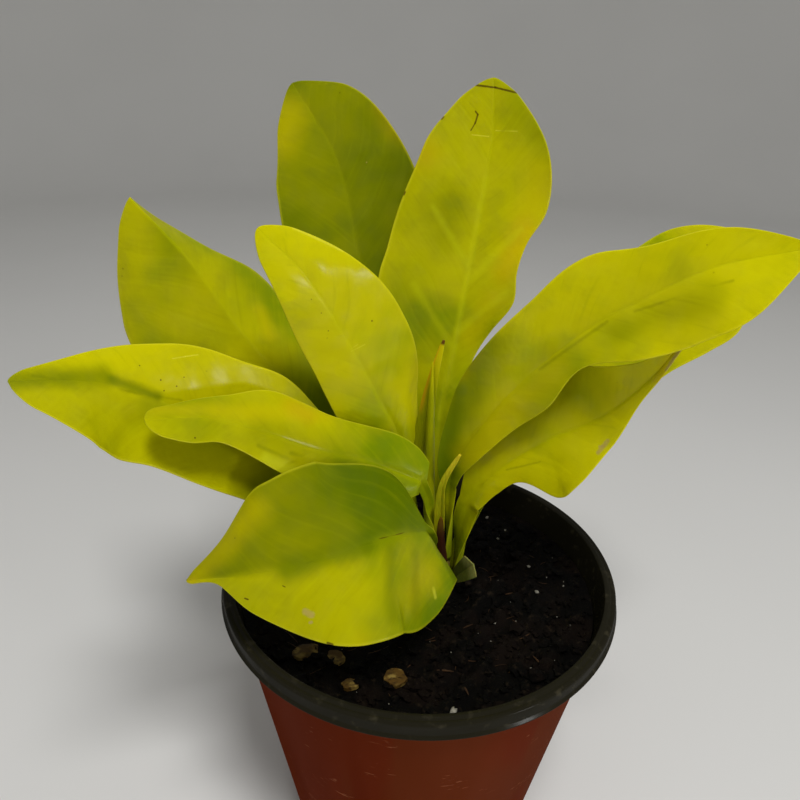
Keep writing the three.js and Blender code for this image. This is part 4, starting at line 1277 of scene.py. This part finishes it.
def leaf_finish(name, leaf, marks):
    """A leaf's own skin: greener towards its base, darkened by painted shade, streaked along its veins, and
    marked.
    """
    finish = Finish(name, LIVING_LEAF)
    across, along, vein, rib, under = [finish.marked(mark) for mark in SKIN_MARKS]
    dark = MARK_KINDS["deep"]["tone"]
    right_half = finish.between(across, -0.16, 0.12)
    cloud = finish.speckle(26, 3)
    fine = finish.speckle(220, 4)
    gold = either_half(leaf["gold"], right_half)
    deep = either_half(leaf["deep"], right_half)

    # Clouds of green in the gold, more of them towards the base, the blade's painted shade, and darker
    # blotches.
    from_base = finish.between(along, -0.1, 0.75, 0.16, -0.12)
    greener = finish.between(cloud + from_base - gold * 0.3, 0.2, 0.62)
    blade = finish.mixed(greener, LEAF_TONES["gold"], LEAF_TONES["green"])
    blade = finish.mixed(finish.between(fine, 0.4, 0.75) * 0.2, blade, LEAF_TONES["fleck"])
    blade = finish.mixed(deep * finish.between(cloud, 0.25, 0.75, 0.8, 1.1), blade, dark)
    blotch = finish.between(finish.speckle(75, 3), 0.5, 0.72)
    blade = finish.mixed(blotch * 0.14, blade, dark)

    # Streaks that follow the side veins, the paler veins themselves, and a pale margin that is partly a
    # painted highlight.
    along_veins = finish.node("ShaderNodeCombineXYZ", sockets={0: vein * 7, 1: across * 1.4, 2: along * 3})
    streak = finish.speckle(1, 4, along_veins)
    lighter = 1 - 0.7 * deep
    blade = finish.mixed(finish.between(streak, 0.5, 0.75) * 0.12 * lighter, blade, LEAF_TONES["streak"])
    blade = finish.mixed(finish.between(streak, 0.45, 0.25) * 0.11, blade, dark)
    across = abs(across)
    from_vein = abs(finish.node("ShaderNodeMath", {"operation": "FRACT"}, {0: vein + 0.5}) - 0.5)
    to_margin = finish.between(across, 1, 0.35)
    on_vein = finish.between(from_vein, 0.07, 0) * to_margin * finish.between(along, 0, 0.12)
    blade = finish.mixed((on_vein * 0.09 + rib * 0.2) * lighter, blade, LEAF_TONES["vein"])
    pale_rim_and_highlight = finish.between(across + 0.01 * fine, 0.97, 1)
    blade = finish.mixed(pale_rim_and_highlight * 0.3, blade, LEAF_TONES["margin"])

    # Places tinged with orange, this leaf's own marks with their painted shade and painted light, brown
    # specks and the underside.
    tinged = finish.between(finish.speckle(34, 2, finish.stretched((1, 1, 1.2))), 0.6, 0.75)
    blade = finish.mixed(tinged * finish.between(across, 0.7, 1) * 0.2, blade, MARK_KINDS["tinge"]["tone"])
    for kind, width, start, end in marks:
        look = MARK_KINDS[kind]
        near = finish.nearness(start, end, width * MM, look["core"], 0.6 * width * MM)
        blade = finish.mixed(near * look["share"], blade, look["tone"])
    spots = {"Vector": finish.place(), "Scale": 210}
    from_spot = finish.node("ShaderNodeTexVoronoi", sockets=spots, output="Distance")
    speck = finish.between(from_spot, 0.1, 0.04) * finish.between(finish.speckle(120, 2), 0.6, 0.68)
    blade = finish.mixed(speck * 0.8, blade, LEAF_TONES["speck"])
    blade = finish.mixed(under * 0.4, blade, LEAF_TONES["underside"])
    finish.set("Base Color", blade)

    # A polish that comes and goes, over sunk veins, fine hatching and a leathery grain.
    finish.set("Roughness", 0.4 + 0.14 * fine + 0.2 * under)
    polish = finish.between(finish.speckle(150, 3), 0.4, 0.62)
    finish.set("Coat Weight", 0.06 + 0.2 * polish - 0.06 * under)
    side_veins = finish.between(from_vein, 0.12, 0) * to_margin
    hatch = finish.node("ShaderNodeMath", {"operation": "SINE"}, {0: vein * 44})
    hatch = hatch * 0.03 * finish.between(finish.speckle(60, 2), 0.45, 0.6)
    grain = finish.speckle(600, 3) * 0.3 + streak * 0.3 + blotch * 0.5 + finish.speckle(130, 2) * 1.4
    finish.raised(grain + hatch - side_veins * 0.2, 0.2 * MM)
    return finish


for name, leaf in LEAVES.items():
    rings = leaf_rings(leaf, BLADE_ROWS, STALK_ROWS, BLADE_EDGE)
    blade = wrapped_skin(name.replace("leaf", "blade"), rings)
    midrib = SmoothCurve(leaf["midrib"])
    marks = [
        (kind, width, station(leaf, midrib, *start), station(leaf, midrib, *end))
        for kind, width, start, end in MARKS.get(name, [])
    ]
    settled(blade, leaf_finish(f"gold_leaf_{name[-1]}", leaf, marks), "leaf", name)

# New leaf
# The youngest leaf in the middle of the crown: a rolled column that comes to a point, with the blade's
# loose half behind it. That half's margin has dried to orange, and its tip to brown.
ROLL_PATH = [(6, 9, 126.2), (4, 7, 141), (2.4, 6, 168), (2.2, 5.2, 182), (2, 4.6, 196), (1.8, 4.4, 212)]
ROLL_RADIUS = [2, 2.3, 2.5, 2.3, 2, 1.5, 1, 0.15]
ROLL_ROWS = 60
ROLL_COLUMNS = 48
ROLL_STEP = 0.12
ROLL_TURNS = 0.35
ROLL_START = 4.5
LOOSE_HALF = {
    "midrib": [(2.4, 7.4, 160), (2.3, 6.8, 172), (2.6, 6, 190), (3.2, 5, 206), (5, 4, 220)],
    "facing": [(-0.2, -1, 0.2), (-0.4, -1, 0.2)],
    "left": [2, 5.6, 6.8, 6.6, 5.6, 4.4, 3, 1.8, 0.6],
    "right": [0.5, 0.6, 0.6, 0.6, 0.6, 0.6, 0.6, 0.6, 0.4],
    "fold": -14,
    "blunt": 0.05,
    "rib": 0.7,
    "quilt": 0,
}
LOOSE_ROWS = 60
YOUNG_GRAIN = (1500, 1500, 60)
YOUNG_TONES = ((124, 134, 4), (158, 156, 4))
YOUNG_TOP = (196, 186, 12)
DRIED_MARGIN = (206, 150, 16)
DRIED_TIP = (96, 58, 24)

roll_path = SmoothCurve(ROLL_PATH)
roll_rings = []
for row in range(ROLL_ROWS + 1):
    t = row / ROLL_ROWS
    at, along, up, right = roll_path.axes(t, Vector((0, -1, 0)))
    radius = smooth_value(ROLL_RADIUS, t)
    ring = []
    for column in range(ROLL_COLUMNS):
        turn = column / ROLL_COLUMNS
        angle = 2 * math.pi * (turn - ROLL_TURNS * t) + ROLL_START
        out = radius * (1 - ROLL_STEP * turn ** 0.6)
        point = at + right * out * math.cos(angle) + up * out * math.sin(angle)
        ring.append((point, (turn, 0.8 * t, 0.5, 0, 0)))
    roll_rings.append(ring)
new_leaf = wrapped_skin("rolled_leaf", roll_rings)
loose_half = wrapped_skin("loose_half", leaf_rings(LOOSE_HALF, LOOSE_ROWS, 0, BLADE_EDGE))
picked(new_leaf)
loose_half.select_set(True)
bpy.ops.object.join()
young = Finish("young_leaf", LIVING_LEAF)
young_across = young.marked("across")
young_along = young.marked("along")
young_tone = young.speckle(160, 3)
young_colour = young.mixed(young_tone, *colours(YOUNG_TONES))
young_colour = young.mixed(young.between(young_along, 0.6, 0.95), young_colour, colour(*YOUNG_TOP))
dried = young.between(young_across, -0.55, -0.95) * young.between(young_along, 0.45, 0.6)
young_colour = young.mixed(dried * 0.6, young_colour, colour(*DRIED_MARGIN))
young_colour = young.mixed(young.between(young_along, 0.965, 0.985), young_colour, colour(*DRIED_TIP))
young.set("Base Color", young_colour)
young.set("Roughness", 0.4 + 0.15 * young_tone)
young.raised(young.speckle(1, 3, young.stretched(YOUNG_GRAIN)), 0.25 * MM)
settled(new_leaf, young, "new_leaf", "new_leaf")

# Sheaths and cut stalk
# What is left of older leaves at the crown: a thin pointed sheath, a brown dried one, and the grey-green
# stub of a leaf stalk that was cut off.
CROWN_BLADES = {
    "sheath_tip": {
        "midrib": [(8.6, 3.6, 126.5), (7.4, 1.5, 150), (7.5, -2, 167), (12.4, -5, 181)],
        "facing": [(-0.5, -1, 0.3), (-0.3, -1, 0.3)],
        "left": [2.4, 2.6, 2.2, 1.3, 0.6],
        "right": [1.4, 1.6, 1.4, 0.9, 0.4],
        "fold": 12,
        "blunt": 0.06,
        "rib": 0.7,
    },
    "sheath_dry": {
        "midrib": [(9.6, 0.7, 117.5), (9.6, -0.2, 130), (8, -1, 141), (7.4, -2, 152)],
        "facing": [(0.2, -1, 0.1), (0.2, -1, 0.2)],
        "left": [1.2, 1.4, 1.5, 1.4, 0.8],
        "right": [1.2, 1.4, 1.5, 1.4, 0.8],
        "fold": -14,
        "blunt": 0.1,
        "rib": 0.5,
    },
    "cut_stalk": {
        "midrib": [(12.6, 3.2, 117.5), (15.2, -0.2, 124), (20.5, -4, 132.5)],
        "facing": [(-0.5, -0.5, 0.5), (-0.4, -0.8, 0.5)],
        "left": [1.6, 2.4, 3.6, 4.6],
        "right": [1.6, 2.6, 4, 4.8],
        "fold": 18,
        "blunt": 0.03,
        "rib": 1.4,
    },
}
CROWN_EDGE = 0.5
CROWN_ROWS = 40
PAPER_GRAIN = (1400, 1400, 120)


def papery_finish(name, dark, light, tip):
    """A thin dry skin, streaked along the piece and of another tone at its tip."""
    finish = Finish(name, {"Subsurface Weight": 0.2, "Subsurface Scale": 1 * MM, "Specular IOR Level": 0.2})
    streaks = finish.speckle(1, 3, finish.stretched(PAPER_GRAIN))
    tone = finish.mixed(streaks, colour(*dark), colour(*light))
    tone = finish.mixed(finish.between(finish.marked("along"), 0.7, 1), tone, colour(*tip))
    finish.set("Base Color", tone)
    finish.set("Roughness", 0.5 + 0.3 * streaks)
    finish.raised(streaks, 0.3 * MM)
    return finish


CROWN_TONES = {
    "sheath_tip": ((150, 154, 6), (196, 190, 20), (204, 186, 36)),
    "sheath_dry": ((30, 13, 4), (62, 27, 8), (92, 66, 10)),
    "cut_stalk": ((48, 54, 12), (78, 82, 26), (120, 120, 60)),
}
CROWN_SLOTS = {"sheath_tip": "sheath", "sheath_dry": "dry_sheath", "cut_stalk": "cut_stalk"}
for name, blade in CROWN_BLADES.items():
    piece = wrapped_skin(f"old_{name}", leaf_rings(blade, CROWN_ROWS, 0, CROWN_EDGE))
    settled(piece, papery_finish(name, *CROWN_TONES[name]), CROWN_SLOTS[name], name)
